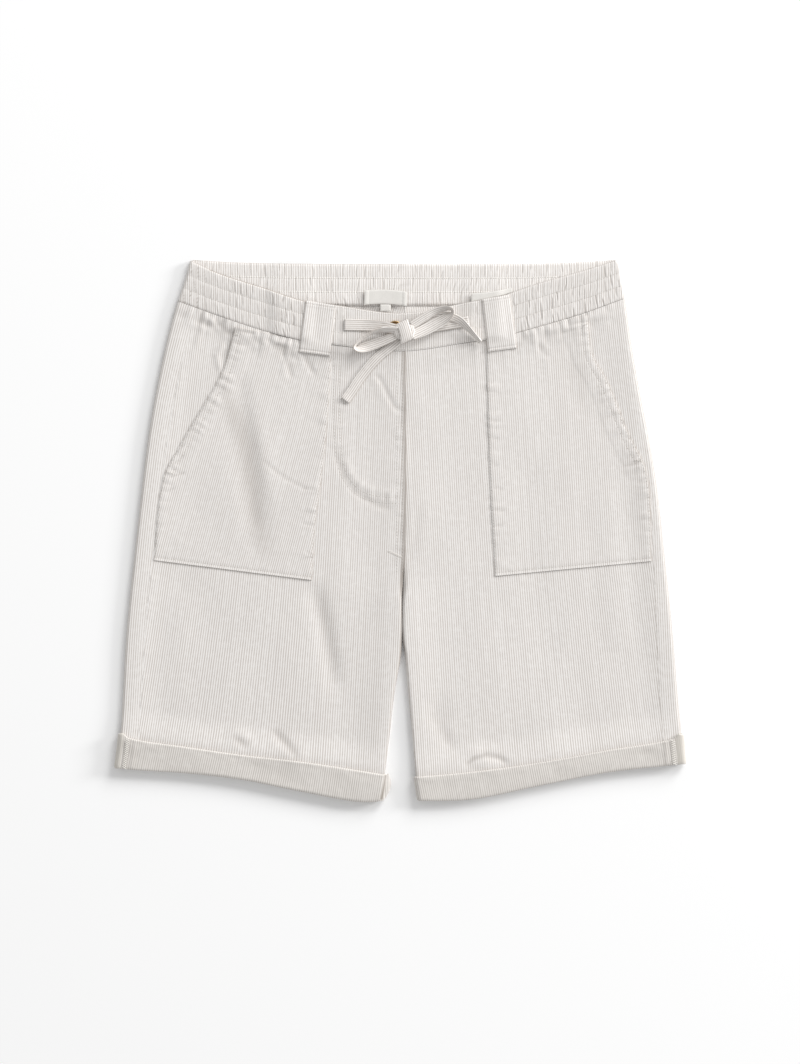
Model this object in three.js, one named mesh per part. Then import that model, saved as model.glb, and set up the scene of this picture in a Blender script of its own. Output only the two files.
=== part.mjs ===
// Bermuda shorts laid flat, buttoned and tied, with turned-up cuffs.
// Millimetres. x runs to the wearer's left, y to the waist, z up from the surface that they lie on.
// The wearer's right side is at negative x. Every panel is a wall of cloth that follows one flattened tube:
// the back lies on the surface, curls up round the outer fold and meets the front at the side seam.
import * as THREE from 'three';

// Cloth, seams and heights
const CLOTH = 1.2;
const SEAM_GAP = 0.3;
const HEM_GAP = 0.8;
const POCKET_GAP = 0.5;
const LEG_MIDDLE_HEIGHT = 4.0;
const CENTRE_FRONT_HEIGHT = 5.0;
const FOLD_RADIUS = 3.0;
const CUFFED_FOLD_RADIUS = 2.4;
const FOLD_SWELL_WIDTH = 22;
const WAIST_RISE = 1.4;
const WAIST_RISE_LENGTH = 26;
const BAND_WALL = 2.4;
const BAND_HEIGHT = 5.8;
const BAND_RADIUS = 2.9;
const CROTCH_Y = -39.5;
const CROTCH_TURN = 30;
const CENTRE_FRONT_X = 3.3;

// Turned-up cuffs: two layers of cloth round the leg, folded under at the foot
const CUFF_WALL = 2.2;
const CUFF_FOOT = 1.2;
const CUFF_LIFT_LENGTH = 30;

// Gathers on the elastic, and puckers under its seam
const BACK_GATHERS = 60;
const SIDE_GATHERS = 16;
const GATHER_HEIGHT = 0.55;
const PUCKER_HEIGHT = 0.45;
const PUCKER_LENGTH = 32;
const PANEL_PUCKERS = 5;
const POCKET_PUCKERS = 13;

// Belt loops and trim
const LOOP_CLOTH = 1.3;
const LOOP_GAP = 0.95;
const BACK_LOOP_WIDTH = 20;
const BACK_LOOP_X = [-103, 78];
const BACK_LOOP_TOP_Y = 250;
const BACK_LOOP_BOTTOM_Y = 203;
const BACK_LOOP_LIFT = 1.75;
const TAPE = 1.0;
const LABEL = 1.0;

// The outline shifts by this much, so that the whole lies centred on the origin
const SHIFT_X = 0.25;
const SHIFT_Y = -0.17;

// Outer fold of each side, from the waist to the hem
const FOLD_LINE = [
  { y: 256, right: -197.3, left: 204.3 },
  { y: 234, right: -203.5, left: 208.7 },
  { y: 211, right: -211.2, left: 212.1 },
  { y: 178, right: -220.0, left: 216.7 },
  { y: 132, right: -229.8, left: 224.8 },
  { y: 87, right: -237.4, left: 233.6 },
  { y: 42, right: -243.0, left: 241.1 },
  { y: -25, right: -250.5, left: 248.6 },
  { y: -93, right: -257.6, left: 255.7 },
  { y: -161, right: -261.6, left: 261.3 },
  { y: -191, right: -263.2, left: 264.2 },
  { y: -223, right: -267.0, left: 266.8 },
];

// Centre front down to the crotch, then the inside edge of each leg
const INNER_LINE = [
  { y: 260, right: 3.15, left: 3.45 },
  { y: -39, right: 3.15, left: 3.45 },
  { y: -60, right: 1.7, left: 2.1 },
  { y: -102, right: 1.6, left: 2.2 },
  { y: -116, right: 0.7, left: 4.0 },
  { y: -152, right: -5.6, left: 7.1 },
  { y: -191, right: -10.1, left: 10.9 },
  { y: -222, right: -14.0, left: 13.6 },
  { y: -255, right: -17.8, left: 18.3 },
];

// How far the side seam lies in from the fold, on the front
const SIDE_SEAM = [
  { y: 216, right: 20.0, left: 3.7 },
  { y: 87, right: 18.5, left: 4.6 },
  { y: -7, right: 17.5, left: 8.9 },
  { y: -105, right: 18.0, left: 15.0 },
  { y: -255, right: 17.0, left: 18.5 },
];

// Front waistband: the seam below it and its top edge
const FRONT_WAIST = [
  { x: -209.6, seam: 216.2, top: 260.1 },
  { x: -173.4, seam: 203.0, top: 243.5 },
  { x: -130, seam: 188.6, top: 229.3 },
  { x: -91, seam: 178.5, top: 216.6 },
  { x: -61, seam: 174.5, top: 212.6 },
  { x: 3.3, seam: 169.0, top: 204.9 },
  { x: 65, seam: 177.4, top: 215.3 },
  { x: 90, seam: 181.3, top: 219.9 },
  { x: 130, seam: 192.0, top: 233.2 },
  { x: 170, seam: 203.8, top: 244.5 },
  { x: 211, seam: 218.7, top: 257.2 },
];

// Back waistband, seen from inside above the front one
const BACK_WAIST = [
  { x: -209.6, seam: 216.2, top: 256.0 },
  { x: -150, seam: 213.0, top: 252.6 },
  { x: 0, seam: 211.5, top: 251.2 },
  { x: 150, seam: 213.5, top: 252.2 },
  { x: 211, seam: 218.7, top: 255.6 },
];

// Turned-up cuff: its upper edge and the fold at its foot
const HEM = {
  right: [
    { x: -269, top: -191.0, foot: -222.8 },
    { x: -246, top: -196.5, foot: -224.9 },
    { x: -205, top: -202.4, foot: -227.5 },
    { x: -148, top: -210.6, foot: -234.1 },
    { x: -91, top: -217.1, foot: -245.5 },
    { x: -31.5, top: -226.2, foot: -255.0 },
    { x: -12, top: -229.4, foot: -252.6 },
  ],
  left: [
    { x: 12, top: -231.2, foot: -253.8 },
    { x: 65, top: -226.5, foot: -252.5 },
    { x: 134, top: -217.1, foot: -238.8 },
    { x: 192, top: -206.4, foot: -227.5 },
    { x: 258, top: -194.7, foot: -219.8 },
    { x: 269, top: -190.5, foot: -218.6 },
  ],
};

// Patch pockets, from the waist down: the outer edge with its slanted opening, and the inner edge
const POCKETS = {
  right: [
    { at: 0, outerX: -155.5, outerY: 191.5, innerX: -64.4, innerY: 173.2 },
    { at: 0.2, outerX: -168.7, outerY: 148.5, innerX: -67.2, innerY: 123.1 },
    { at: 0.4, outerX: -193.2, outerY: 105.3, innerX: -71.0, innerY: 77.1 },
    { at: 0.6, outerX: -215.7, outerY: 65.8, innerX: -75.7, innerY: 36.7 },
    { at: 0.7, outerX: -223.6, outerY: 47.9, innerX: -79.0, innerY: 15.0 },
    { at: 1, outerX: -232.2, outerY: -27.3, innerX: -83.2, innerY: -46.1 },
  ],
  left: [
    { at: 0, outerX: 176.3, outerY: 203.2, innerX: 80.4, innerY: 177.8 },
    { at: 0.14, outerX: 181.0, outerY: 165.7, innerX: 81.3, innerY: 137.2 },
    { at: 0.25, outerX: 193.5, outerY: 143.2, innerX: 81.8, innerY: 118.4 },
    { at: 0.48, outerX: 215.2, outerY: 90.5, innerX: 83.2, innerY: 66.9 },
    { at: 0.65, outerX: 231.0, outerY: 56.4, innerX: 84.6, innerY: 33.8 },
    { at: 1, outerX: 236.4, outerY: -28.2, innerX: 88.8, innerY: -42.3 },
  ],
};

// How far the pocket opening gapes, and where
const OPENING_GAPE = {
  right: { height: 1.6, y: 168, length: 22, reach: 16 },
  left: { height: 0.7, y: 158, length: 26, reach: 12 },
};

// Largest folds of the fronts: a soft trough (negative height) or ridge along each line
const FOLDS = [
  { x0: -150.9, y0: 142, x1: -136.0, y1: 4, width: 9, height: -0.9 },
  { x0: -83.0, y0: -52, x1: -61.6, y1: -150, width: 9, height: -0.7 },
  { x0: -26.0, y0: 150, x1: 0.5, y1: 108, width: 7, height: 0.6 },
  { x0: -159.0, y0: -188, x1: -143.0, y1: -198, width: 8, height: 0.8 },
  { x0: -110.0, y0: -206, x1: -92.0, y1: -216, width: 8, height: 0.7 },
  { x0: 32.0, y0: -156, x1: 42.0, y1: -182, width: 9, height: -0.7 },
  { x0: 64.0, y0: -205, x1: 88.0, y1: -223, width: 9, height: 0.8 },
  { x0: 118.0, y0: 60, x1: 134.0, y1: -120, width: 16, height: -0.5 },
  { x0: 196.0, y0: 40, x1: 206.0, y1: -110, width: 14, height: 0.5 },
  { x0: -205.0, y0: -60, x1: -214.0, y1: -160, width: 14, height: 0.4 },
];

// Front belt loops: their four corners
const FRONT_LOOPS = {
  right: { topOuter: [-88.8, 216.6], topInner: [-60.6, 212.0], footInner: [-66.3, 164.5], footOuter: [-95.4, 168.3] },
  left: { topOuter: [102.9, 222.0], topInner: [76.6, 217.4], footInner: [82.3, 168.3], footOuter: [109.5, 172.0] },
};

// Drawstring, each piece along its middle: lift is the clearance below it, lean turns it up on its edge
const STRINGS = {
  string_right: [
    { x: -52.5, y: 193.9, lift: 0.3, width: 10.5, lean: 0 },
    { x: -36.0, y: 193.5, lift: 0.4, width: 10.5, lean: 0 },
    { x: -22.0, y: 193.1, lift: 1.6, width: 9.5, lean: 6 },
    { x: -13.0, y: 192.8, lift: 3.0, width: 7.5, lean: 10 },
    { x: -6.6, y: 192.4, lift: 4.4, width: 5.0, lean: 10 },
  ],
  string_left: [
    { x: 63.8, y: 196.7, lift: 0.3, width: 9.5, lean: 0 },
    { x: 48.0, y: 194.4, lift: 0.3, width: 9.5, lean: 0 },
    { x: 30.0, y: 191.0, lift: 0.6, width: 8.5, lean: 0 },
    { x: 15.6, y: 188.6, lift: 3.0, width: 6.0, lean: 0 },
  ],
  bow_right: [
    { x: -6.4, y: 183.6, lift: 5.0, width: 7.5, lean: 25 },
    { x: -19.3, y: 178.0, lift: 3.2, width: 9.0, lean: 30 },
    { x: -31.5, y: 172.6, lift: 1.6, width: 10.0, lean: 42 },
    { x: -38.6, y: 170.6, lift: 0.6, width: 10.5, lean: 62 },
    { x: -41.6, y: 172.4, lift: 0.4, width: 10.5, lean: 72 },
    { x: -41.0, y: 176.0, lift: 0.8, width: 10.5, lean: 72 },
    { x: -36.0, y: 181.8, lift: 1.6, width: 10.0, lean: 66 },
    { x: -26.8, y: 186.6, lift: 2.8, width: 9.5, lean: 62 },
    { x: -15.6, y: 189.0, lift: 4.8, width: 8.0, lean: 44 },
    { x: -6.6, y: 189.2, lift: 6.0, width: 6.0, lean: 30 },
  ],
  bow_left: [
    { x: 16.4, y: 185.4, lift: 4.6, width: 9.0, lean: -10 },
    { x: 26.0, y: 190.4, lift: 3.4, width: 11.0, lean: -14 },
    { x: 37.0, y: 195.6, lift: 3.0, width: 11.5, lean: -26 },
    { x: 45.6, y: 200.4, lift: 2.8, width: 11.0, lean: -46 },
    { x: 49.4, y: 204.6, lift: 2.8, width: 10.5, lean: -68 },
    { x: 48.0, y: 208.4, lift: 2.8, width: 9.5, lean: -66 },
    { x: 42.6, y: 209.8, lift: 2.9, width: 9.0, lean: -58 },
    { x: 31.0, y: 206.6, lift: 3.0, width: 8.0, lean: -52 },
    { x: 20.6, y: 200.0, lift: 3.2, width: 7.5, lean: -46 },
    { x: 14.2, y: 195.0, lift: 3.4, width: 6.0, lean: -40 },
  ],
  tail_right: [
    { x: -3.6, y: 177.0, lift: 2.4, width: 7.5, lean: 0 },
    { x: -11.0, y: 171.6, lift: 0.9, width: 8.5, lean: 0 },
    { x: -19.3, y: 165.0, lift: 0.4, width: 9.0, lean: 0 },
    { x: -26.6, y: 157.6, lift: 0.4, width: 9.5, lean: 0 },
    { x: -33.4, y: 149.4, lift: 0.4, width: 9.5, lean: 0 },
    { x: -40.0, y: 140.4, lift: 0.4, width: 9.5, lean: 0 },
    { x: -46.0, y: 131.0, lift: 0.5, width: 9.5, lean: 0 },
    { x: -52.2, y: 122.6, lift: 0.6, width: 9.0, lean: 0 },
  ],
  tail_left: [
    { x: 16.0, y: 196.0, lift: 1.6, width: 8.0, lean: 0 },
    { x: 26.0, y: 200.6, lift: 1.5, width: 8.0, lean: 0 },
    { x: 36.0, y: 203.0, lift: 1.5, width: 8.0, lean: 0 },
    { x: 46.0, y: 201.6, lift: 1.5, width: 8.0, lean: 0 },
    { x: 55.5, y: 197.6, lift: 1.9, width: 7.5, lean: 20 },
    { x: 62.5, y: 191.0, lift: 1.5, width: 7.0, lean: 40 },
    { x: 69.2, y: 183.8, lift: 0.4, width: 6.5, lean: 55 },
    { x: 75.2, y: 177.2, lift: 0.5, width: 6.0, lean: 60 },
  ],
};
const KNOT = { x: 4.4, y: 187.2, lift: 2.8, sizeX: 19, sizeY: 17.5, sizeZ: 7.6 };
const BUTTON = { x: -5.2, y: 190.6, radius: 7, height: 2.2, lift: 0.3 };

// Bare woven labels inside the back waistband
const MAIN_LABEL = { x: -14.1, y: 220.4, width: 40, height: 13.4, lean: -0.03 };
const SIZE_TAB = { x: -14.1, y: 210.0, width: 10, height: 6.4, lean: 0 };
const SIDE_LABEL = { fromX: 66.5, toX: 105, fromHeight: 7.5, toHeight: 4.2 };

const { lerp, clamp, smoothstep } = THREE.MathUtils;

/** Smooth value of one column of a table, straight beyond its ends. */
function read(table, axis, column, at) {
  const forward = table[0][axis] < table[table.length - 1][axis];
  const rows = forward ? table : [...table].reverse();
  let i = 0;
  while (i < rows.length - 2 && at > rows[i + 1][axis]) i += 1;
  const slope = (j) => (rows[j + 1][column] - rows[j][column]) / (rows[j + 1][axis] - rows[j][axis]);
  const a = rows[i];
  const b = rows[i + 1];
  const span = b[axis] - a[axis];
  const t = (at - a[axis]) / span;
  const chord = slope(i);
  if (t <= 0) return a[column] + chord * (at - a[axis]);
  if (t >= 1) return b[column] + chord * (at - b[axis]);
  const startSlope = i > 0 ? (chord + slope(i - 1)) / 2 : chord;
  const endSlope = i < rows.length - 2 ? (chord + slope(i + 1)) / 2 : chord;
  const t2 = t * t;
  const t3 = t2 * t;
  return (2 * t3 - 3 * t2 + 1) * a[column] + (t3 - 2 * t2 + t) * span * startSlope
    + (3 * t2 - 2 * t3) * b[column] + (t3 - t2) * span * endSlope;
}

/** A repeatable unevenness between 0 and 1. */
function uneven(index) {
  const wave = Math.sin(index * 12.9898 + 4.1) * 43758.5453;
  return wave - Math.floor(wave);
}

const inward = (side) => (side === 'right' ? 1 : -1);
const sideAt = (x) => (x < CENTRE_FRONT_X ? 'right' : 'left');
const foldX = (side, y) => read(FOLD_LINE, 'y', side, y);
const innerX = (side, y) => read(INNER_LINE, 'y', side, y);
const seamX = (side, y) => foldX(side, y) + inward(side) * read(SIDE_SEAM, 'y', side, y);
const curl = (y) => Math.max(smoothstep(CROTCH_Y - y, 0, CROTCH_TURN), 0.001);
const foldRadius = (side, x, y) => lerp(FOLD_RADIUS, CUFFED_FOLD_RADIUS, cuffLift(side, x, y) / CUFF_WALL);
const swell = (distance) => Math.exp(-((Math.max(distance, 0) / FOLD_SWELL_WIDTH) ** 2));

/** How far the turned-up cuff under the leg lifts it off the surface. */
function cuffLift(side, x, y) {
  const above = y - read(HEM[side], 'x', 'top', x);
  return (CUFF_WALL + SEAM_GAP) * (1 - smoothstep(above, 1, CUFF_LIFT_LENGTH));
}

/** How far a belt loop under the back waistband lifts it off the surface. */
function backLoopLift(x, y) {
  const along = smoothstep(y, BACK_LOOP_BOTTOM_Y - 42, BACK_LOOP_BOTTOM_Y - 16);
  const half = BACK_LOOP_WIDTH / 2;
  const across = Math.max(...BACK_LOOP_X.map((at) => 1 - smoothstep(Math.abs(x - at), half + 1, half + 16)));
  return BACK_LOOP_LIFT * along * across;
}

/** Height of a soft fold at a point: full along its line, fading at its ends and sides. */
function foldsHeight(x, y) {
  let height = 0;
  for (const fold of FOLDS) {
    const dx = fold.x1 - fold.x0;
    const dy = fold.y1 - fold.y0;
    const length = Math.hypot(dx, dy);
    const along = ((x - fold.x0) * dx + (y - fold.y0) * dy) / length;
    const across = ((x - fold.x0) * dy - (y - fold.y0) * dx) / length;
    const ends = smoothstep(along, -fold.width, fold.width) * smoothstep(length - along, -fold.width, fold.width);
    height += fold.height * ends * Math.exp(-((across / fold.width) ** 2));
  }
  return height;
}

/** The leg and hip tube: where its outer face lies above the surface, below and on top. */
const body = {
  bottom: (side, x, y) => cuffLift(side, x, y) + backLoopLift(x, y),
  radius: foldRadius,
  top(side, x, y) {
    const radius = foldRadius(side, x, y);
    const outer = swell(Math.abs(x - foldX(side, y)) - radius);
    const inner = swell(Math.abs(innerX(side, y) - x) - radius);
    const innerHeight = lerp(CENTRE_FRONT_HEIGHT, 2 * radius, curl(y));
    const belowWaist = read(FRONT_WAIST, 'x', 'seam', x) - y;
    const rise = WAIST_RISE * (1 - smoothstep(belowWaist, 0, WAIST_RISE_LENGTH)) * (1 - outer) * (1 - inner * 0.6);
    const flat = LEG_MIDDLE_HEIGHT + (innerHeight - LEG_MIDDLE_HEIGHT) * inner;
    const height = lerp(flat, 2 * radius, outer);
    const quiet = (1 - outer) * (1 - inner);
    return cuffLift(side, x, y) + height + rise + foldsHeight(x, y) * quiet;
  },
};

/** The waistband tube. */
const band = {
  bottom: (side, x, y) => backLoopLift(x, y),
  radius: () => BAND_RADIUS,
  top: (side, x, y) => BAND_HEIGHT + backLoopLift(x, y),
};

/** The topmost face of band and fronts, on which the trim lies. */
function faceHeight(x, y) {
  const side = sideAt(x);
  const overSeam = y - read(FRONT_WAIST, 'x', 'seam', x);
  return lerp(body.top(side, x, y), band.top(side, x, y), smoothstep(overSeam, -3, 0));
}

/** Settle x and y together: x depends on the height up the leg, and the row's line depends on x. */
function settle(xAt, line, guess) {
  let x = guess;
  for (let i = 0; i < 5; i += 1) x = xAt(line(x));
  return [x, line(x)];
}

/**
 * A point on a flattened tube. The station says where round the tube it lies, the line where along it,
 * and out how far off the tube's outer face.
 */
function tubePoint(tube, side, station, line, out) {
  const dir = inward(side);
  const { zone, at } = station;
  const guess = dir * -120;
  const radiusAt = (y) => tube.radius(side, foldX(side, y), y);
  const foldTangent = (y) => foldX(side, y) + dir * radiusAt(y);
  const curlRadius = (y) => radiusAt(y) / curl(y);
  const innerTangent = (y) => innerX(side, y) - dir * curlRadius(y) * Math.sin((curl(y) * Math.PI) / 2);
  if (zone === 'fold') {
    const rowLine = (x) => lerp(line.back(x), line.front(x), (at + 1) / 2);
    const [x, y] = settle(foldTangent, rowLine, guess);
    const radius = radiusAt(y);
    const angle = (at * Math.PI) / 2;
    const z = tube.bottom(side, x, y) + radius + (radius + out) * Math.sin(angle);
    return new THREE.Vector3(x - dir * (radius + out) * Math.cos(angle), y, z);
  }
  if (zone === 'inner') {
    const rowLine = at >= 0 ? line.front : line.back;
    const [tangent, y] = settle(innerTangent, rowLine, dir * -10);
    const radius = curlRadius(y);
    const angle = ((1 - Math.abs(at)) * curl(y) * Math.PI) / 2;
    const drop = radius * (1 - Math.cos(angle));
    const x = tangent + dir * (radius + out) * Math.sin(angle);
    const z = at >= 0
      ? tube.top(side, tangent, y) - drop + out * Math.cos(angle)
      : tube.bottom(side, tangent, y) + drop - out * Math.cos(angle);
    return new THREE.Vector3(x, y, z);
  }
  const spans = {
    front: [(y) => seamX(side, y) + (dir * SEAM_GAP) / 2, innerTangent, line.front],
    wrap: [foldTangent, (y) => seamX(side, y) - (dir * SEAM_GAP) / 2, line.front],
    whole: [foldTangent, innerTangent, line.front],
    back: [foldTangent, innerTangent, line.back],
  };
  const [from, to, rowLine] = spans[zone];
  const [start] = settle(from, rowLine, guess);
  const [end] = settle(to, rowLine, dir * -10);
  const x = lerp(start, end, at);
  const y = rowLine(x);
  const z = zone === 'back' ? tube.bottom(side, x, y) - out : tube.top(side, x, y) + out;
  return new THREE.Vector3(x, y, z);
}

/** Stations from one value to another within a zone. */
function stations(zone, from, to, count, skipFirst = false) {
  const list = [];
  for (let i = skipFirst ? 1 : 0; i <= count; i += 1) list.push({ zone, at: lerp(from, to, i / count) });
  return list;
}

const INSEAM_END = 0.035;
const wave = (index) => (index % 2 === 0 ? 1 : 0);

/** Row of the leg tube: v is 0 at the waist seam, 1 at the cuff's upper edge and 2 at the hem inside the cuff. */
function legLine(side, v) {
  const between = (table) => (x) => {
    const cuffTop = read(HEM[side], 'x', 'top', x) + HEM_GAP;
    const hem = read(HEM[side], 'x', 'foot', x) + CUFF_FOOT + HEM_GAP;
    return v < 1 ? lerp(read(table, 'x', 'seam', x), cuffTop, v) : lerp(cuffTop, hem, v - 1);
  };
  return { front: between(FRONT_WAIST), back: between(BACK_WAIST) };
}

/** Row of the waistband: w is 0 just above its seam and 1 at its top edge. */
function bandLine(w) {
  const between = (table, x) => lerp(read(table, 'x', 'seam', x) + SEAM_GAP, read(table, 'x', 'top', x), w);
  return {
    front: (x) => between(FRONT_WAIST, x),
    back: (x) => between(BACK_WAIST, x),
  };
}

/** Solid between an outer and an inner grid of points, closed round its rim. */
function wall(outer, inner) {
  const rows = outer.length;
  const columns = outer[0].length;
  const points = [...outer.flat(), ...inner.flat()];
  const faces = [];
  const quad = (a, b, c, d) => {
    faces.push([a, b, c], [a, c, d]);
  };
  const top = (r, c) => r * columns + c;
  const under = (r, c) => rows * columns + r * columns + c;
  for (let r = 0; r < rows - 1; r += 1) {
    for (let c = 0; c < columns - 1; c += 1) {
      quad(top(r, c), top(r, c + 1), top(r + 1, c + 1), top(r + 1, c));
      quad(under(r, c), under(r + 1, c), under(r + 1, c + 1), under(r, c + 1));
    }
  }
  for (let c = 0; c < columns - 1; c += 1) {
    quad(top(0, c), under(0, c), under(0, c + 1), top(0, c + 1));
    quad(top(rows - 1, c), top(rows - 1, c + 1), under(rows - 1, c + 1), under(rows - 1, c));
  }
  for (let r = 0; r < rows - 1; r += 1) {
    quad(top(r, 0), top(r + 1, 0), under(r + 1, 0), under(r, 0));
    quad(top(r, columns - 1), under(r, columns - 1), under(r + 1, columns - 1), top(r + 1, columns - 1));
  }
  return solid(points, faces);
}

/** Solid swept round: each section is a closed loop, and the sections close on themselves or end in caps. */
function sweep(sections, closed) {
  const count = sections.length;
  const sides = sections[0].length;
  const points = sections.flat();
  const faces = [];
  const at = (i, j) => (i % count) * sides + (j % sides);
  for (let i = 0; i < (closed ? count : count - 1); i += 1) {
    for (let j = 0; j < sides; j += 1) {
      faces.push([at(i, j), at(i + 1, j), at(i + 1, j + 1)], [at(i, j), at(i + 1, j + 1), at(i, j + 1)]);
    }
  }
  if (!closed) {
    for (let j = 1; j < sides - 1; j += 1) {
      faces.push([at(0, 0), at(0, j), at(0, j + 1)]);
      faces.push([at(count - 1, 0), at(count - 1, j + 1), at(count - 1, j)]);
    }
  }
  return solid(points, faces);
}

/** Geometry from points and faces, turned so that its faces point out. */
function solid(points, faces) {
  let volume = 0;
  const cross = new THREE.Vector3();
  for (const [a, b, c] of faces) volume += points[a].dot(cross.crossVectors(points[b], points[c]));
  const turned = volume < 0 ? faces.map(([a, b, c]) => [a, c, b]) : faces;
  const geometry = new THREE.BufferGeometry();
  geometry.setAttribute('position', new THREE.Float32BufferAttribute(points.flatMap((p) => [p.x, p.y, p.z]), 3));
  geometry.setIndex(turned.flat());
  geometry.computeVertexNormals();
  return geometry;
}

/** Outer and inner grids of a panel of the tube; raise adds relief to its outer face. */
function panel(tube, side, columns, lines, thickness, raise = () => 0, raiseBoth = false) {
  const grid = (depth, relief) => lines.map((line, row) => columns.map((station, column) => {
    const out = -depth + (relief ? raise(row, column, station) : 0);
    return tubePoint(tube, side, station, line, out);
  }));
  return wall(grid(0, true), grid(thickness, raiseBoth));
}

// Rows of the legs, closer where the form turns: at the waist, the crotch and the cuff
const LEG_ROWS = [0, 0.03, 0.08, 0.14, 0.23, 0.33, 0.44, 0.52, 0.565, 0.61, 0.67, 0.78, 0.88, 0.93, 1, 2];
const LEG_LENGTH = 400;

/** Front: from the side seam to centre front, and below the crotch round to the inseam. */
function frontPanel(side) {
  const puckered = side === 'right' ? 0.17 : 0.18;
  const columns = [
    ...stations('front', 0, puckered, PANEL_PUCKERS * 2),
    ...stations('front', puckered, 1, 15, true),
    ...stations('inner', 1, INSEAM_END, 3, true),
  ];
  const lines = LEG_ROWS.map((v) => legLine(side, v));
  const pucker = (row, column) => {
    const fade = 1 - smoothstep(LEG_ROWS[row] * LEG_LENGTH, 0, PUCKER_LENGTH * (0.7 + 0.6 * uneven(column)));
    const inPuckers = column > 0 && column < PANEL_PUCKERS * 2;
    return inPuckers ? PUCKER_HEIGHT * fade * wave(column) : 0;
  };
  return panel(body, side, columns, lines, CLOTH, pucker, true);
}

/** Back: from the inseam along the surface, up round the outer fold to the side seam. */
function backPanel(side) {
  const columns = [
    ...stations('inner', -INSEAM_END, -1, 3),
    ...stations('back', 1, 0, 13, true),
    ...stations('fold', -1, 1, 6, true),
    ...stations('wrap', 0, 1, 2, true),
  ];
  return panel(body, side, columns, LEG_ROWS.map((v) => legLine(side, v)), CLOTH);
}

// Across the band: two rows of stitching part it into three channels
const CHANNEL_ROWS = [0, 0.17, 0.33, 0.5, 0.67, 0.83, 1];
const CHANNEL_SWELL = [0.35, 1, 0.45, 1, 0.45, 1, 0.5];

/** Gathered front of the waistband, from the side seam to the belt loop. */
function sideBand(side) {
  const loopX = side === 'right' ? -78.2 : 93.1;
  const dir = inward(side);
  const count = SIDE_GATHERS * 2;
  const grid = (depth, raised) => CHANNEL_ROWS.map((w, row) => {
    const line = bandLine(w);
    const [start] = settle((y) => seamX(side, y) + (dir * SEAM_GAP) / 2, line.front, dir * -180);
    return Array.from({ length: count + 1 }, (_, i) => {
      const jitter = i > 0 && i < count ? (uneven(i) - 0.5) * 0.5 : 0;
      const x = lerp(start, loopX, (i + jitter) / count);
      const relief = raised ? gatherHeight(i, row) : 0;
      const y = line.front(x);
      return new THREE.Vector3(x, y, band.top(side, x, y) - depth + relief);
    });
  });
  return wall(grid(0, true), grid(BAND_WALL, false));
}

/** Flat front of the waistband, from the belt loop to centre front, where it is buttoned. */
function flatBand(side) {
  const loopX = side === 'right' ? -78.2 + SEAM_GAP : 93.1 - SEAM_GAP;
  const centreX = CENTRE_FRONT_X - (inward(side) * SEAM_GAP) / 2;
  const grid = (depth) => [0, 1].map((w) => Array.from({ length: 9 }, (_, i) => {
    const x = lerp(loopX, centreX, i / 8);
    const y = bandLine(w).front(x);
    return new THREE.Vector3(x, y, band.top(side, x, y) - depth);
  }));
  return wall(grid(0), grid(BAND_WALL));
}

const gatherHeight = (column, row) => (
  GATHER_HEIGHT * wave(column) * CHANNEL_SWELL[row] * (0.65 + 0.5 * uneven(column * 1.7)));

/** Gathered back of the waistband, round both folds to the side seams. */
function backBand() {
  const perSide = BACK_GATHERS - 6;
  const half = (side) => [
    ...stations('wrap', 1, 0, side === 'right' ? 6 : 1),
    ...stations('fold', 1, -1, 6, true),
    ...stations('back', 0, 1, perSide, true),
  ];
  const rightColumns = half('right');
  const leftColumns = half('left').reverse();
  const rows = [0, 0.2, 0.4, 0.6, 0.8, 1];
  const swellOf = [0.35, 1, 0.5, 1, 0.5, 0.8];
  const grid = (depth, floorSide) => rows.map((w, row) => {
    const line = bandLine(w);
    const place = (side, columns, offset) => columns.map((station, i) => {
      const column = i + offset;
      const relief = GATHER_HEIGHT * wave(column) * swellOf[row] * (0.65 + 0.5 * uneven(column * 2.3));
      const upper = station.zone === 'wrap' || (station.zone === 'fold' && station.at > 0.2);
      const lower = station.zone === 'back';
      const raised = (floorSide && upper) || (!floorSide && lower && i > 1);
      const out = -depth + (raised ? (floorSide ? relief : -relief) : 0);
      return tubePoint(band, side, station, line, out);
    });
    const right = place('right', rightColumns, 0);
    const left = place('left', leftColumns, rightColumns.length);
    left.shift();
    return [...right, ...left];
  });
  return wall(grid(0, true), grid(BAND_WALL, false));
}

/** Patch pocket: lies on the front, puckered under the waist seam, its slanted opening gaping a little. */
function pocket(side) {
  const table = POCKETS[side];
  const gape = OPENING_GAPE[side];
  const rows = [0, 0.04, 0.09, 0.16, 0.26, 0.38, 0.5, 0.65, 0.82, 1];
  const count = POCKET_PUCKERS * 2;
  const grid = (depth) => rows.map((at) => Array.from({ length: count + 1 }, (_, i) => {
    const cell = (name) => read(table, 'at', name, at);
    const across = i / count;
    const x = lerp(cell('outerX'), cell('innerX'), across);
    const y = lerp(cell('outerY'), cell('innerY'), across);
    const fromOpening = Math.abs(x - cell('outerX'));
    const open = gape.height * Math.exp(-(((cell('outerY') - gape.y) / gape.length) ** 2))
      * Math.exp(-((fromOpening / gape.reach) ** 2));
    const fade = 1 - smoothstep(at * 220, 0, PUCKER_LENGTH * (0.6 + 0.8 * uneven(i)));
    const pucker = i > 0 && i < count ? PUCKER_HEIGHT * fade * wave(i) : 0;
    const lift = POCKET_GAP + CLOTH - depth + open + pucker;
    return new THREE.Vector3(x, y, body.top(side, x, y) + lift);
  }));
  return wall(grid(0), grid(CLOTH));
}

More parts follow.
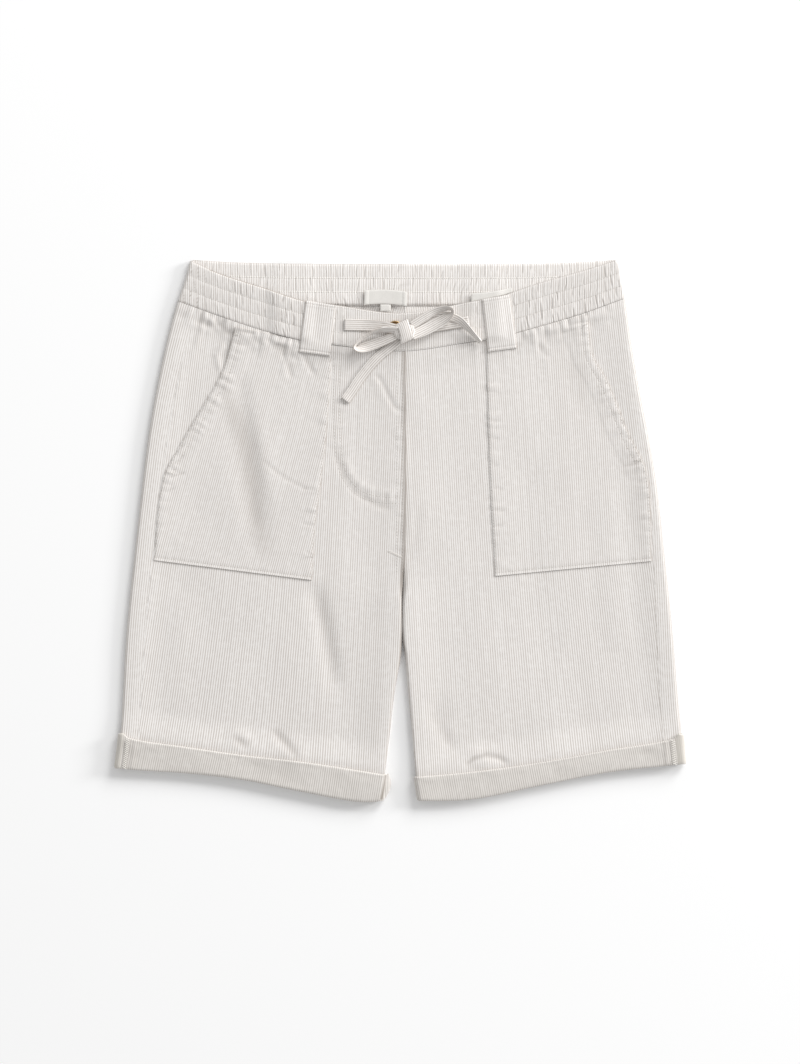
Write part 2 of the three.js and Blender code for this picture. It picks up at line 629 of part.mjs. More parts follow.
/** Turned-up cuff: a ring of doubled cloth round the leg, closed under the leg's end at its foot. */
function cuff(side) {
  const ring = [
    ...stations('fold', -1, 1, 6),
    ...stations('whole', 0, 1, 14, true),
    ...stations('inner', 1, -1, 6, true),
    ...stations('back', 1, 0, 11, true).slice(0, -1),
  ];
  const outside = SEAM_GAP + CUFF_WALL;
  const section = [
    { out: SEAM_GAP, from: 'top', up: 0 },
    { out: outside - 0.5, from: 'top', up: 0 },
    { out: outside, from: 'top', up: -0.6 },
    { out: outside, from: 'foot', up: 1.1 },
    { out: outside - 0.8, from: 'foot', up: 0 },
    { out: 0.4 - CLOTH, from: 'foot', up: 0 },
    { out: -CLOTH, from: 'foot', up: 0.4 },
    { out: -CLOTH, from: 'foot', up: CUFF_FOOT },
    { out: SEAM_GAP, from: 'foot', up: CUFF_FOOT },
  ];
  return sweep(ring.map((station) => section.map((corner) => {
    const line = (x) => read(HEM[side], 'x', corner.from, x) + corner.up;
    return tubePoint(body, side, station, { front: line, back: line }, corner.out);
  })), true);
}

/** Front belt loop: a strip over the band, sewn at the band's top and below its seam. */
function frontLoop(side) {
  const { topOuter, topInner, footInner, footOuter } = FRONT_LOOPS[side];
  const rows = [0, 0.06, 0.3, 0.55, 0.72, 0.8, 0.88, 1];
  const lift = POCKET_GAP + CLOTH + LOOP_GAP;
  const grid = (depth) => rows.map((v) => Array.from({ length: 5 }, (_, i) => {
    const u = i / 4;
    const x = lerp(lerp(topOuter[0], topInner[0], u), lerp(footOuter[0], footInner[0], u), v);
    const y = lerp(lerp(topOuter[1], topInner[1], u), lerp(footOuter[1], footInner[1], u), v);
    const onBand = band.top(side, x, y) + GATHER_HEIGHT * 1.2 + SEAM_GAP;
    const onFront = body.top(side, x, y) + lift + PUCKER_HEIGHT;
    const crown = 0.35 * Math.sin(Math.PI * u);
    const z = lerp(onBand, onFront, smoothstep(v, 0.72, 0.86));
    return new THREE.Vector3(x, y, Math.max(z, onFront * smoothstep(v, 0.6, 0.8)) + LOOP_CLOTH - depth + crown);
  }));
  return wall(grid(0), grid(LOOP_CLOTH));
}

/** Back belt loop: lies on the surface, under the back waistband. */
function backLoop(x) {
  const grid = (z) => [BACK_LOOP_TOP_Y, BACK_LOOP_BOTTOM_Y].map((y) => (
    [-0.5, 0.5].map((u) => new THREE.Vector3(x + u * BACK_LOOP_WIDTH, y, z))));
  return wall(grid(LOOP_CLOTH), grid(0));
}

/** A stretch of the drawstring: a flat tape along its table's rows. */
function tape(rows) {
  const steps = (rows.length - 1) * 3;
  const spine = rows.map((row, i) => ({ ...row, i }));
  const value = (name, at) => read(spine, 'i', name, at);
  const sections = [];
  for (let s = 0; s <= steps; s += 1) {
    const at = (s / steps) * (rows.length - 1);
    const ahead = Math.min(at + 0.05, rows.length - 1);
    const behind = Math.max(at - 0.05, 0);
    const dx = value('x', ahead) - value('x', behind);
    const dy = value('y', ahead) - value('y', behind);
    const length = Math.hypot(dx, dy);
    const lean = THREE.MathUtils.degToRad(value('lean', at));
    const flip = lean < 0 ? -1 : 1;
    const across = new THREE.Vector3(
      (-dy / length) * Math.cos(lean) * flip,
      (dx / length) * Math.cos(lean) * flip,
      Math.sin(Math.abs(lean)),
    );
    const along = new THREE.Vector3(dx / length, dy / length, 0);
    const through = new THREE.Vector3().crossVectors(across, along).normalize();
    const half = value('width', at) / 2;
    const rest = half * Math.sin(Math.abs(lean)) + (TAPE / 2) * Math.cos(lean);
    const x = value('x', at);
    const y = value('y', at);
    const middle = new THREE.Vector3(x, y, faceHeight(x, y) + value('lift', at) + rest);
    sections.push([[-1, -1], [1, -1], [1, 1], [-1, 1]].map(([u, v]) => (
      middle.clone().addScaledVector(across, u * half).addScaledVector(through, (v * TAPE) / 2))));
  }
  return sweep(sections, false);
}

/** The knot: a rounded lump of wrapped tape. */
function knot() {
  const geometry = new THREE.SphereGeometry(0.5, 18, 12);
  geometry.deleteAttribute('uv');
  geometry.deleteAttribute('normal');
  const position = geometry.attributes.position;
  const boxy = (value) => Math.sign(value) * Math.abs(value * 2) ** 0.75 / 2;
  for (let i = 0; i < position.count; i += 1) {
    position.setXYZ(i, boxy(position.getX(i)), boxy(position.getY(i)), boxy(position.getZ(i)));
  }
  geometry.rotateZ(-0.25);
  geometry.scale(KNOT.sizeX, KNOT.sizeY, KNOT.sizeZ);
  geometry.translate(KNOT.x, KNOT.y, BAND_HEIGHT + KNOT.lift + KNOT.sizeZ / 2);
  return geometry;
}

/** The shank button behind the knot: a shallow dished disc. */
function button() {
  const { radius, height } = BUTTON;
  const profile = [[0, 0], [radius - 0.6, 0], [radius, 0.6], [radius, height - 0.6], [radius - 0.7, height],
    [radius - 1.6, height], [radius - 2.2, height - 0.5], [0, height - 0.5]];
  const geometry = new THREE.LatheGeometry(profile.map(([r, z]) => new THREE.Vector2(r, z)), 24);
  geometry.rotateX(Math.PI / 2);
  geometry.translate(BUTTON.x, BUTTON.y, BAND_HEIGHT + BUTTON.lift);
  return geometry;
}

const LABEL_Z = BAND_WALL + GATHER_HEIGHT * 1.2 + SEAM_GAP;

/** A bare label lying on the inside of the back waistband. */
function labelPatch({ x, y, width, height, lean }) {
  const geometry = new THREE.BoxGeometry(width, height, LABEL);
  geometry.rotateZ(lean);
  geometry.translate(x, y, LABEL_Z + LABEL / 2);
  return geometry;
}

/** The bare strip label beside the front waistband's top edge. */
function sideLabel() {
  const { fromX, toX, fromHeight, toHeight } = SIDE_LABEL;
  const grid = (z) => [0, 1].map((v) => Array.from({ length: 5 }, (_, i) => {
    const x = lerp(fromX, toX, i / 4);
    const y = read(FRONT_WAIST, 'x', 'top', x) + SEAM_GAP + v * lerp(fromHeight, toHeight, i / 4);
    return new THREE.Vector3(x, y, z + backLoopLift(x, y));
  }));
  return wall(grid(LABEL_Z + LABEL), grid(LABEL_Z));
}

const cloth = () => new THREE.MeshStandardMaterial({ color: '#e1ddd8', roughness: 0.92, metalness: 0 });
const tapeCloth = () => new THREE.MeshStandardMaterial({ color: '#e9e4df', roughness: 0.9, metalness: 0 });
const labelCloth = () => new THREE.MeshStandardMaterial({ color: '#f1efeb', roughness: 0.8, metalness: 0 });
const brass = () => new THREE.MeshStandardMaterial({ color: '#b08d4c', roughness: 0.35, metalness: 1 });

const shorts = new THREE.Group();
const centred = new THREE.Group();
centred.position.set(SHIFT_X, SHIFT_Y, 0);
shorts.add(centred);

/** Add one sub-part to the shorts. */
function add(name, geometry, material) {
  const mesh = new THREE.Mesh(geometry, material);
  mesh.name = name;
  centred.add(mesh);
}

for (const side of ['right', 'left']) {
  add(`front_${side}`, frontPanel(side), cloth());
  add(`back_${side}`, backPanel(side), cloth());
  add(`pocket_${side}`, pocket(side), cloth());
  add(`cuff_${side}`, cuff(side), cloth());
  add(`waistband_side_${side}`, sideBand(side), cloth());
  add(`waistband_front_${side}`, flatBand(side), cloth());
  add(`belt_loop_front_${side}`, frontLoop(side), cloth());
}
add('waistband_back', backBand(), cloth());
BACK_LOOP_X.forEach((x, i) => add(`belt_loop_back_${['right', 'left'][i]}`, backLoop(x), cloth()));
for (const [name, rows] of Object.entries(STRINGS)) add(`drawstring_${name}`, tape(rows), tapeCloth());
add('drawstring_knot', knot(), tapeCloth());
add('waist_button', button(), brass());
add('label_main', labelPatch(MAIN_LABEL), labelCloth());
add('label_size_tab', labelPatch(SIZE_TAB), labelCloth());
add('label_side', sideLabel(), labelCloth());

export default shorts;
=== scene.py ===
"""Striped cotton bermuda shorts, laid flat on a pale floor and seen from straight above.

Sizes are in millimetres in the tables and in the cloth's own coordinates; every mesh is written in metres.
The cloth follows one flattened tube: the back lies on the floor, curls up round the outer fold and meets the
front at the side seam. Pockets, belt loops, cuffs and seams are made from that tube's points, moved out.
"""
import logging
import math
from dataclasses import dataclass, field
from enum import Enum
from typing import Callable, Iterable, Sequence

import bmesh
import bpy
import numpy as np
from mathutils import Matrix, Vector
from mathutils.bvhtree import BVHTree


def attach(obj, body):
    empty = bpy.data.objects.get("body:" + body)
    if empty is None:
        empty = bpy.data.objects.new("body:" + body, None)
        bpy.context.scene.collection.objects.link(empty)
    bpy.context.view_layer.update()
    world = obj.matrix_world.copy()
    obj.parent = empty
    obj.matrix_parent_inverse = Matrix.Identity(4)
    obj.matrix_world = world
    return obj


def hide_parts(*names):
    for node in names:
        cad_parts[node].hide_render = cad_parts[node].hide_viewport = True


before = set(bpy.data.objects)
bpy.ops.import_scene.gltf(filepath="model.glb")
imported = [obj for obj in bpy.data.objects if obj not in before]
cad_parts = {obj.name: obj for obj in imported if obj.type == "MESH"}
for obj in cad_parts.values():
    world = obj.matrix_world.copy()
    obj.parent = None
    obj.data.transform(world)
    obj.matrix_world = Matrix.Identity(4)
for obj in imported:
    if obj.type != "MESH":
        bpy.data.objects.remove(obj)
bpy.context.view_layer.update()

logging.basicConfig(level=logging.INFO, format="%(name)s: %(message)s")
LOG = logging.getLogger("shorts")

Array = np.ndarray
MM = 0.001

# Cloth, seams and heights, in millimetres
CLOTH = 0.75
SOLID_CLOTH = 1.2
SEAM_GAP = 0.3
SIDE_GAP = -0.16
HEM_GAP = 0.8
POCKET_REST = 0.12
LEG_MIDDLE_HEIGHT = 4.0
CENTRE_FRONT_HEIGHT = 5.0
FOLD_RADIUS = 3.0
CUFFED_FOLD_RADIUS = 2.4
FOLD_SWELL_WIDTH = 22.0
WAIST_RISE = 1.4
WAIST_RISE_LENGTH = 26.0
BAND_WALL = 2.4
BAND_HEIGHT = 5.8
BAND_RADIUS = 2.9
CROTCH_Y = -39.5
CROTCH_TURN = 30.0
CENTRE_FRONT_X = 3.3
CUFF_WALL = 2.2
CUFF_FOOT = 1.2
CUFF_LIFT_LENGTH = 30.0
BACK_LOOP_WIDTH = 20.0
BACK_LOOP_X = (-103.0, 78.0)
BACK_LOOP_BOTTOM_Y = 203.0
BACK_LOOP_LIFT = 1.75
GATHER_HEIGHT = 0.55
PUCKER_LENGTH = 32.0
LOOP_GAP = 0.95
TAPE = 1.0
SHIFT = np.array([0.25, -0.17, 0.0])
INSEAM_END = 0.035


class Side(Enum):
    """The wearer's side of the shorts."""

    RIGHT = "right"
    LEFT = "left"

    @property
    def inward(self) -> int:
        """Direction of x from the outer fold to the middle."""
        return 1 if self is Side.RIGHT else -1


class Zone(Enum):
    """Where round the flattened tube a strip of cloth lies."""

    FRONT = "front"
    WRAP = "wrap"
    WHOLE = "whole"
    BACK = "back"
    FOLD = "fold"
    INNER = "inner"


class Table:
    """A short table with named columns, read smoothly along its first column and straight beyond its ends."""

    def __init__(self, names: str, rows: Sequence[tuple[float, ...]]) -> None:
        """Keep the rows in rising order of the first column.

        Args:
            names: the columns' names, split by spaces.
            rows: one tuple for each row.
        """
        ordered = sorted(rows)
        self.names = names.split()
        self.values = {n: np.array([r[i] for r in ordered], float) for i, n in enumerate(self.names)}
        self.axis = self.values[self.names[0]]

    def read(self, column: str, at: Array | float) -> Array:
        """Value of a column.

        Args:
            column: the column's name.
            at: where along the first column.

        Returns:
            The values, in the shape of at.
        """
        at = np.asarray(at, float)
        v = self.values[column]
        i = np.clip(np.searchsorted(self.axis, at, side="right") - 1, 0, len(self.axis) - 2)
        chords = np.diff(v) / np.diff(self.axis)
        slopes = np.concatenate([chords[:1], (chords[1:] + chords[:-1]) / 2, chords[-1:]])
        span = self.axis[i + 1] - self.axis[i]
        t = (at - self.axis[i]) / span
        t2, t3 = t * t, t * t * t
        smooth = ((2 * t3 - 3 * t2 + 1) * v[i] + (t3 - 2 * t2 + t) * span * slopes[i]
                  + (3 * t2 - 2 * t3) * v[i + 1] + (t3 - t2) * span * slopes[i + 1])
        straight = np.where(t < 0, v[i] + chords[i] * (at - self.axis[i]), v[i + 1] + chords[i] * (at - self.axis[i + 1]))
        return np.where((t >= 0) & (t <= 1), smooth, straight)


FOLD_LINE = Table("y right left", [
    (256, -197.3, 204.3), (234, -203.5, 208.7), (211, -211.2, 212.1), (178, -220.0, 216.7),
    (132, -229.8, 224.8), (87, -237.4, 233.6), (42, -243.0, 241.1), (-25, -250.5, 248.6),
    (-93, -257.6, 255.7), (-161, -261.6, 261.3), (-191, -263.2, 264.2), (-223, -267.0, 266.8),
])
INNER_LINE = Table("y right left", [
    (260, 3.15, 3.45), (-39, 3.15, 3.45), (-60, 1.7, 2.1), (-102, 1.6, 2.2), (-116, 0.7, 4.0),
    (-152, -5.6, 7.1), (-191, -10.1, 10.9), (-222, -14.0, 13.6), (-255, -17.8, 18.3),
])
SIDE_SEAM = Table("y right left", [
    (216, 20.0, 3.7), (87, 18.5, 4.6), (-7, 17.5, 8.9), (-105, 18.0, 15.0), (-255, 17.0, 18.5),
])
FRONT_WAIST = Table("x seam top", [
    (-209.6, 216.2, 260.1), (-173.4, 203.0, 243.5), (-130, 188.6, 229.3), (-91, 178.5, 216.6),
    (-61, 174.5, 212.6), (3.3, 169.0, 204.9), (65, 177.4, 215.3), (90, 181.3, 219.9),
    (130, 192.0, 233.2), (170, 203.8, 244.5), (211, 218.7, 257.2),
])
BACK_WAIST = Table("x seam top", [
    (-209.6, 216.2, 256.0), (-150, 213.0, 252.6), (0, 211.5, 251.2), (150, 213.5, 252.2), (211, 218.7, 255.6),
])
HEM = {
    Side.RIGHT: Table("x top foot", [
        (-269, -191.0, -222.8), (-246, -196.5, -224.9), (-205, -202.4, -227.5), (-148, -210.6, -234.1),
        (-91, -217.1, -245.5), (-31.5, -226.2, -255.0), (-12, -229.4, -252.6),
    ]),
    Side.LEFT: Table("x top foot", [
        (12, -231.2, -253.8), (65, -226.5, -252.5), (134, -217.1, -238.8), (192, -206.4, -227.5),
        (258, -194.7, -219.8), (269, -190.5, -218.6),
    ]),
}
POCKETS = {
    Side.RIGHT: Table("at outer_x outer_y inner_x inner_y", [
        (0, -155.5, 191.5, -64.4, 173.2), (0.2, -168.7, 148.5, -67.2, 123.1), (0.4, -193.2, 105.3, -71.0, 77.1),
        (0.6, -215.7, 65.8, -75.7, 36.7), (0.7, -223.6, 47.9, -79.0, 15.0), (1, -232.2, -27.3, -83.2, -46.1),
    ]),
    Side.LEFT: Table("at outer_x outer_y inner_x inner_y", [
        (0, 176.3, 203.2, 80.4, 177.8), (0.14, 181.0, 165.7, 81.3, 137.2), (0.25, 193.5, 143.2, 81.8, 118.4),
        (0.48, 215.2, 90.5, 83.2, 66.9), (0.65, 231.0, 56.4, 84.6, 33.8), (1, 236.4, -28.2, 88.8, -42.3),
    ]),
}


@dataclass(frozen=True)
class Gape:
    """How far a pocket opening stands open, and where."""

    height: float
    y: float
    length: float
    reach: float


GAPES = {Side.RIGHT: Gape(1.6, 168, 22, 16), Side.LEFT: Gape(0.7, 158, 26, 12)}

# Soft folds of the fronts: a trough (negative height) or a ridge along each line
FOLDS = [
    (-150.9, 142, -136.0, 4, 9, -0.9), (-83.0, -52, -61.6, -150, 9, -0.7), (-26.0, 150, 0.5, 108, 7, 0.6),
    (-159.0, -188, -143.0, -198, 8, 0.8), (-110.0, -206, -92.0, -216, 8, 0.7), (32.0, -156, 42.0, -182, 9, -0.7),
    (64.0, -205, 88.0, -223, 9, 0.8), (118.0, 60, 134.0, -120, 16, -0.5), (196.0, 40, 206.0, -110, 14, 0.5),
    (-205.0, -60, -214.0, -160, 14, 0.4),
]


def lerp(a: Array | float, b: Array | float, t: Array | float) -> Array:
    """Straight blend from a to b."""
    return a + (b - a) * t


def smoothstep(x: Array | float, low: Array | float, high: Array | float) -> Array:
    """Smooth rise from 0 at low to 1 at high."""
    t = np.clip((np.asarray(x, float) - low) / (np.asarray(high, float) - low), 0, 1)
    return t * t * (3 - 2 * t)


def bell(distance: Array | float, width: float) -> Array:
    """Bell curve that is 1 at no distance."""
    return np.exp(-((np.asarray(distance, float) / width) ** 2))


def noise(x: Array, y: Array, scale: float, seed: float) -> Array:
    """Smooth repeatable noise between -1 and 1.

    Args:
        x: first coordinate in millimetres.
        y: second coordinate in millimetres.
        scale: size of a lump.
        seed: picks the pattern.

    Returns:
        The noise, in the shape of x and y together.
    """
    gx, gy = np.broadcast_arrays(np.asarray(x, float) / scale, np.asarray(y, float) / scale)
    i, j = np.floor(gx), np.floor(gy)
    fx, fy = gx - i, gy - j
    fx, fy = fx * fx * (3 - 2 * fx), fy * fy * (3 - 2 * fy)

    def corner(a: Array, b: Array) -> Array:
        wave = np.sin(a * 127.1 + b * 311.7 + seed * 74.7) * 43758.5453
        return wave - np.floor(wave)

    low = lerp(corner(i, j), corner(i + 1, j), fx)
    high = lerp(corner(i, j + 1), corner(i + 1, j + 1), fx)
    return lerp(low, high, fy) * 2 - 1


def fold_x(side: Side, y: Array) -> Array:
    """x of the outer fold."""
    return FOLD_LINE.read(side.value, y)


def inner_x(side: Side, y: Array) -> Array:
    """x of centre front, and below the crotch of the leg's inside edge."""
    return INNER_LINE.read(side.value, y)


def seam_x(side: Side, y: Array) -> Array:
    """x of the side seam."""
    return fold_x(side, y) + side.inward * SIDE_SEAM.read(side.value, y)


def curl(y: Array) -> Array:
    """How far the inside edge turns down to the inseam: 0 above the crotch, 1 on the leg."""
    return np.maximum(smoothstep(CROTCH_Y - np.asarray(y, float), 0, CROTCH_TURN), 0.001)


def cuff_lift(side: Side, x: Array, y: Array) -> Array:
    """How far the turned-up cuff under the leg lifts it off the floor."""
    above = y - HEM[side].read("top", x)
    return (CUFF_WALL + SEAM_GAP) * (1 - smoothstep(above, 1, CUFF_LIFT_LENGTH))


def back_loop_lift(x: Array, y: Array) -> Array:
    """How far a belt loop under the back waistband lifts it off the floor."""
    along = smoothstep(y, BACK_LOOP_BOTTOM_Y - 42, BACK_LOOP_BOTTOM_Y - 16)
    half = BACK_LOOP_WIDTH / 2
    across = np.max([1 - smoothstep(np.abs(x - at), half + 1, half + 16) for at in BACK_LOOP_X], axis=0)
    return BACK_LOOP_LIFT * along * across


def folds_height(x: Array, y: Array) -> Array:
    """Height of the soft folds at a point."""
    height = np.zeros(np.broadcast(x, y).shape)
    for x0, y0, x1, y1, width, tall in FOLDS:
        dx, dy = x1 - x0, y1 - y0
        length = math.hypot(dx, dy)
        along = ((x - x0) * dx + (y - y0) * dy) / length
        across = ((x - x0) * dy - (y - y0) * dx) / length
        ends = smoothstep(along, -width, width) * smoothstep(length - along, -width, width)
        height = height + tall * ends * bell(across, width)
    return height


class LegTube:
    """The leg and hip tube: where its outer face lies above the floor, below and on top."""

    def radius(self, side: Side, x: Array, y: Array) -> Array:
        """Radius of the outer fold."""
        return lerp(FOLD_RADIUS, CUFFED_FOLD_RADIUS, cuff_lift(side, x, y) / CUFF_WALL)

    def bottom(self, side: Side, x: Array, y: Array) -> Array:
        """Height of the underside."""
        return cuff_lift(side, x, y) + back_loop_lift(x, y)

    def top(self, side: Side, x: Array, y: Array) -> Array:
        """Height of the front face."""
        radius = self.radius(side, x, y)
        outer = bell(np.maximum(np.abs(x - fold_x(side, y)) - radius, 0), FOLD_SWELL_WIDTH)
        inner = bell(np.maximum(np.abs(inner_x(side, y) - x) - radius, 0), FOLD_SWELL_WIDTH)
        inner_height = lerp(CENTRE_FRONT_HEIGHT, 2 * radius, curl(y))
        below_waist = FRONT_WAIST.read("seam", x) - y
        rise = WAIST_RISE * (1 - smoothstep(below_waist, 0, WAIST_RISE_LENGTH)) * (1 - outer) * (1 - inner * 0.6)
        flat = LEG_MIDDLE_HEIGHT + (inner_height - LEG_MIDDLE_HEIGHT) * inner
        height = lerp(flat, 2 * radius, outer)
        return cuff_lift(side, x, y) + height + rise + folds_height(x, y) * (1 - outer) * (1 - inner)


class BandTube:
    """The waistband tube."""

    def radius(self, side: Side, x: Array, y: Array) -> Array:
        """Radius of the outer fold."""
        return np.full(np.shape(y), BAND_RADIUS)

    def bottom(self, side: Side, x: Array, y: Array) -> Array:
        """Height of the underside."""
        return back_loop_lift(x, y)

    def top(self, side: Side, x: Array, y: Array) -> Array:
        """Height of the front face."""
        return BAND_HEIGHT + back_loop_lift(x, y)


LEG = LegTube()
BAND = BandTube()
Line = Callable[[Array], Array]


@dataclass(frozen=True)
class Rows:
    """Row lines of a piece: y on the front and on the back for any x."""

    front: Line
    back: Line


def leg_rows(side: Side, v: Array) -> Rows:
    """Rows of the leg.

    Args:
        side: the wearer's side.
        v: 0 at the waist seam, 1 at the cuff's upper edge, 2 at the hem inside the cuff, as a column.

    Returns:
        The row lines.
    """

    def between(table: Table) -> Line:
        def line(x: Array) -> Array:
            cuff_top = HEM[side].read("top", x) + HEM_GAP
            hem = HEM[side].read("foot", x) + CUFF_FOOT + HEM_GAP
            return np.where(v < 1, lerp(table.read("seam", x), cuff_top, v), lerp(cuff_top, hem, v - 1))
        return line

    return Rows(between(FRONT_WAIST), between(BACK_WAIST))


def band_rows(w: Array) -> Rows:
    """Rows of the waistband: w is 0 just above its seam and 1 at its top edge, as a column."""

    def between(table: Table) -> Line:
        return lambda x: lerp(table.read("seam", x) + SEAM_GAP, table.read("top", x), w)

    return Rows(between(FRONT_WAIST), between(BACK_WAIST))


def settle(x_at: Line, line: Line, guess: float, rows: int) -> tuple[Array, Array]:
    """Settle x and y together, where x depends on y and the row's line on x."""
    x = np.full((rows, 1), guess)
    for _ in range(5):
        x = x_at(line(x))
    return x, line(x)


def tube_strip(tube: LegTube | BandTube, side: Side, zone: Zone, at: Array, rows: Rows, count: int,
               out: Array | float) -> Array:
    """Points of a strip of cloth on a flattened tube.

    Args:
        tube: the tube that it follows.
        side: the wearer's side.
        zone: where round the tube.
        at: places along the zone, one for each column.
        rows: the row lines.
        count: how many rows there are.
        out: how far off the tube's outer face.

    Returns:
        Points by row and column, in millimetres.
    """
    d = side.inward
    at = np.asarray(at, float)[None, :]

    def radius_at(y: Array) -> Array:
        return tube.radius(side, fold_x(side, y), y)

    def fold_tangent(y: Array) -> Array:
        return fold_x(side, y) + d * radius_at(y)

    def inner_tangent(y: Array) -> Array:
        return inner_x(side, y) - d * radius_at(y) / curl(y) * np.sin(curl(y) * math.pi / 2)

    if zone is Zone.FOLD:
        up = (at + 1) / 2
        x, y = np.zeros(at.shape) + d * -200.0, None
        x = np.repeat(x, count, axis=0)
        for _ in range(5):
            x = fold_tangent(lerp(rows.back(x), rows.front(x), up))
        y = lerp(rows.back(x), rows.front(x), up)
        radius = radius_at(y)
        angle = at * math.pi / 2
        z = tube.bottom(side, x, y) + radius + (radius + out) * np.sin(angle)
        return np.stack([x - d * (radius + out) * np.cos(angle), y, z], -1)
    if zone is Zone.INNER:
        top = at[0, 0] > 0
        tangent, y = settle(inner_tangent, rows.front if top else rows.back, d * -10.0, count)
        radius = radius_at(y) / curl(y)
        angle = (1 - np.abs(at)) * curl(y) * math.pi / 2
        drop = radius * (1 - np.cos(angle))
        x = tangent + d * (radius + out) * np.sin(angle)
        if top:
            z = tube.top(side, tangent, y) - drop + out * np.cos(angle)
        else:
            z = tube.bottom(side, tangent, y) + drop - out * np.cos(angle)
        return np.stack([x, np.broadcast_to(y, x.shape), z], -1)
    gap = d * SIDE_GAP / 2
    spans = {
        Zone.FRONT: (lambda y: seam_x(side, y) + gap, inner_tangent, rows.front),
        Zone.WRAP: (fold_tangent, lambda y: seam_x(side, y) - gap, rows.front),
        Zone.WHOLE: (fold_tangent, inner_tangent, rows.front),
        Zone.BACK: (fold_tangent, inner_tangent, rows.back),
    }
    start_at, end_at, line = spans[zone]
    start, _ = settle(start_at, line, d * -120.0, count)
    end, _ = settle(end_at, line, d * -10.0, count)
    x = lerp(start, end, at)
    y = line(x)
    z = tube.bottom(side, x, y) - out if zone is Zone.BACK else tube.top(side, x, y) + out
    return np.stack([x, y, z], -1)


def column(values: Iterable[float]) -> Array:
    """Values as a column, one for each row."""
    return np.asarray(list(values), float)[:, None]


def stations(start: float, end: float, count: int) -> Array:
    """Even places along a zone, both ends included."""
    return np.linspace(start, end, count + 1)


def plan_height(x: Array, y: Array) -> Array:
    """Height of the topmost face of the band and the fronts, on which the drawstring lies."""
    x, y = np.broadcast_arrays(np.asarray(x, float), np.asarray(y, float))
    over_seam = smoothstep(y - FRONT_WAIST.read("seam", x), -3, 0)
    result = np.zeros(x.shape)
    for side in Side:
        mine = (x < CENTRE_FRONT_X) == (side is Side.RIGHT)
        result = np.where(mine, lerp(LEG.top(side, x, y), BAND.top(side, x, y), over_seam), result)
    return result


# Relief of the cloth


def crimp(place: Array, sharpness: float = 0.7) -> Array:
    """Round ridges between sharp valleys: one ridge from each whole number to the next."""
    return np.abs(np.sin(np.pi * place)) ** sharpness


def pick(place: Array, seed: float) -> Array:
    """A repeatable value between 0 and 1 for each whole number."""
    wave = np.sin(np.floor(place) * 12.9898 + seed * 4.1) * 43758.5453
    return wave - np.floor(wave)


def gathered(x: Array, w: Array, pitch: float, seed: float, channels: int = 3) -> tuple[Array, Array]:
    """Gathers of cloth on elastic, held down along the rows of stitching.

    Args:
        x: along the band.
        w: across the band, from 0 to 1.
        pitch: mean distance between gathers.
        seed: picks their unevenness.
        channels: how many channels the stitching makes.

    Returns:
        Height of the relief, at most about two millimetres, and the painted shade in its creases.
    """
    channel = np.clip(np.floor(w * channels), 0, channels - 1)
    within = w * channels - channel
    place = x / pitch + 0.5 * noise(x, channel * 31.0, 15.0, seed) + 0.2 * noise(x, w * 45.0, 12.0, seed + 3)
    place = place + (within - 0.5) * 0.5 * noise(x, channel * 17.0, 22.0, seed + 6)
    groove = np.round(place)
    offset = (place - groove) * pitch
    strength = 0.25 + 0.75 * pick(groove + channel * 7, seed)
    from_row = np.where(pick(groove + channel * 3, seed + 4) > 0.5, within, 1 - within)
    length = 0.6 + 0.6 * pick(groove + channel * 5, seed + 2)
    reach = (1 - smoothstep(from_row, length * 0.6, length)) * strength
    puff = np.abs(np.sin(np.pi * within)) ** 0.5
    pillow = 0.4 + 0.6 * crimp(place + 0.5, 0.7) * strength
    height = 0.6 * puff * pillow - 0.5 * reach * bell(offset, 0.6)
    painted_shade_depth = 2.0 * reach * bell(offset, 0.36) + 0.05 * reach * bell(offset - 0.9, 1.1)
    fine = np.round(place * 1.7 + 0.4)
    painted_shade_depth = painted_shade_depth + 0.5 * pick(fine, seed + 8) * bell((place * 1.7 + 0.4 - fine) * pitch / 1.7, 0.4) * puff
    return height, painted_shade_depth


def puckers(x: Array, drop: Array, pitch: float, seed: float) -> tuple[Array, Array]:
    """Short folds that run down from a gathered seam.

    Args:
        x: along the seam.
        drop: distance below the seam.
        pitch: mean distance between folds.
        seed: picks their unevenness.

    Returns:
        Height of the relief, and the painted shade in its creases.
    """
    place = x / pitch + 0.35 * noise(x, drop * 0.4, 19.0, seed) + 0.12 * noise(x, drop, 7.0, seed + 1)
    tall = 0.2 + 1.0 * pick(place, seed) ** 1.4
    length = 6 + PUCKER_LENGTH * pick(place, seed + 5) ** 2
    fade = np.exp(-((np.maximum(drop, 0) / length) ** 1.5))
    roll = 0.35 * bell(drop - 5, 4) * (0.6 + 0.4 * noise(x, drop, 12, seed + 8))
    lumps = 0.8 * bell(drop - 10, 9) * noise(x * 0.9, drop * 1.3, 8.0, seed + 9)
    painted_shade_depth = bell(np.sin(np.pi * place), 0.22) * fade * tall * 0.6 + np.maximum(-lumps - 0.12, 0) * 0.9
    return 0.95 * tall * fade * crimp(place, 0.8) + roll + lumps, painted_shade_depth


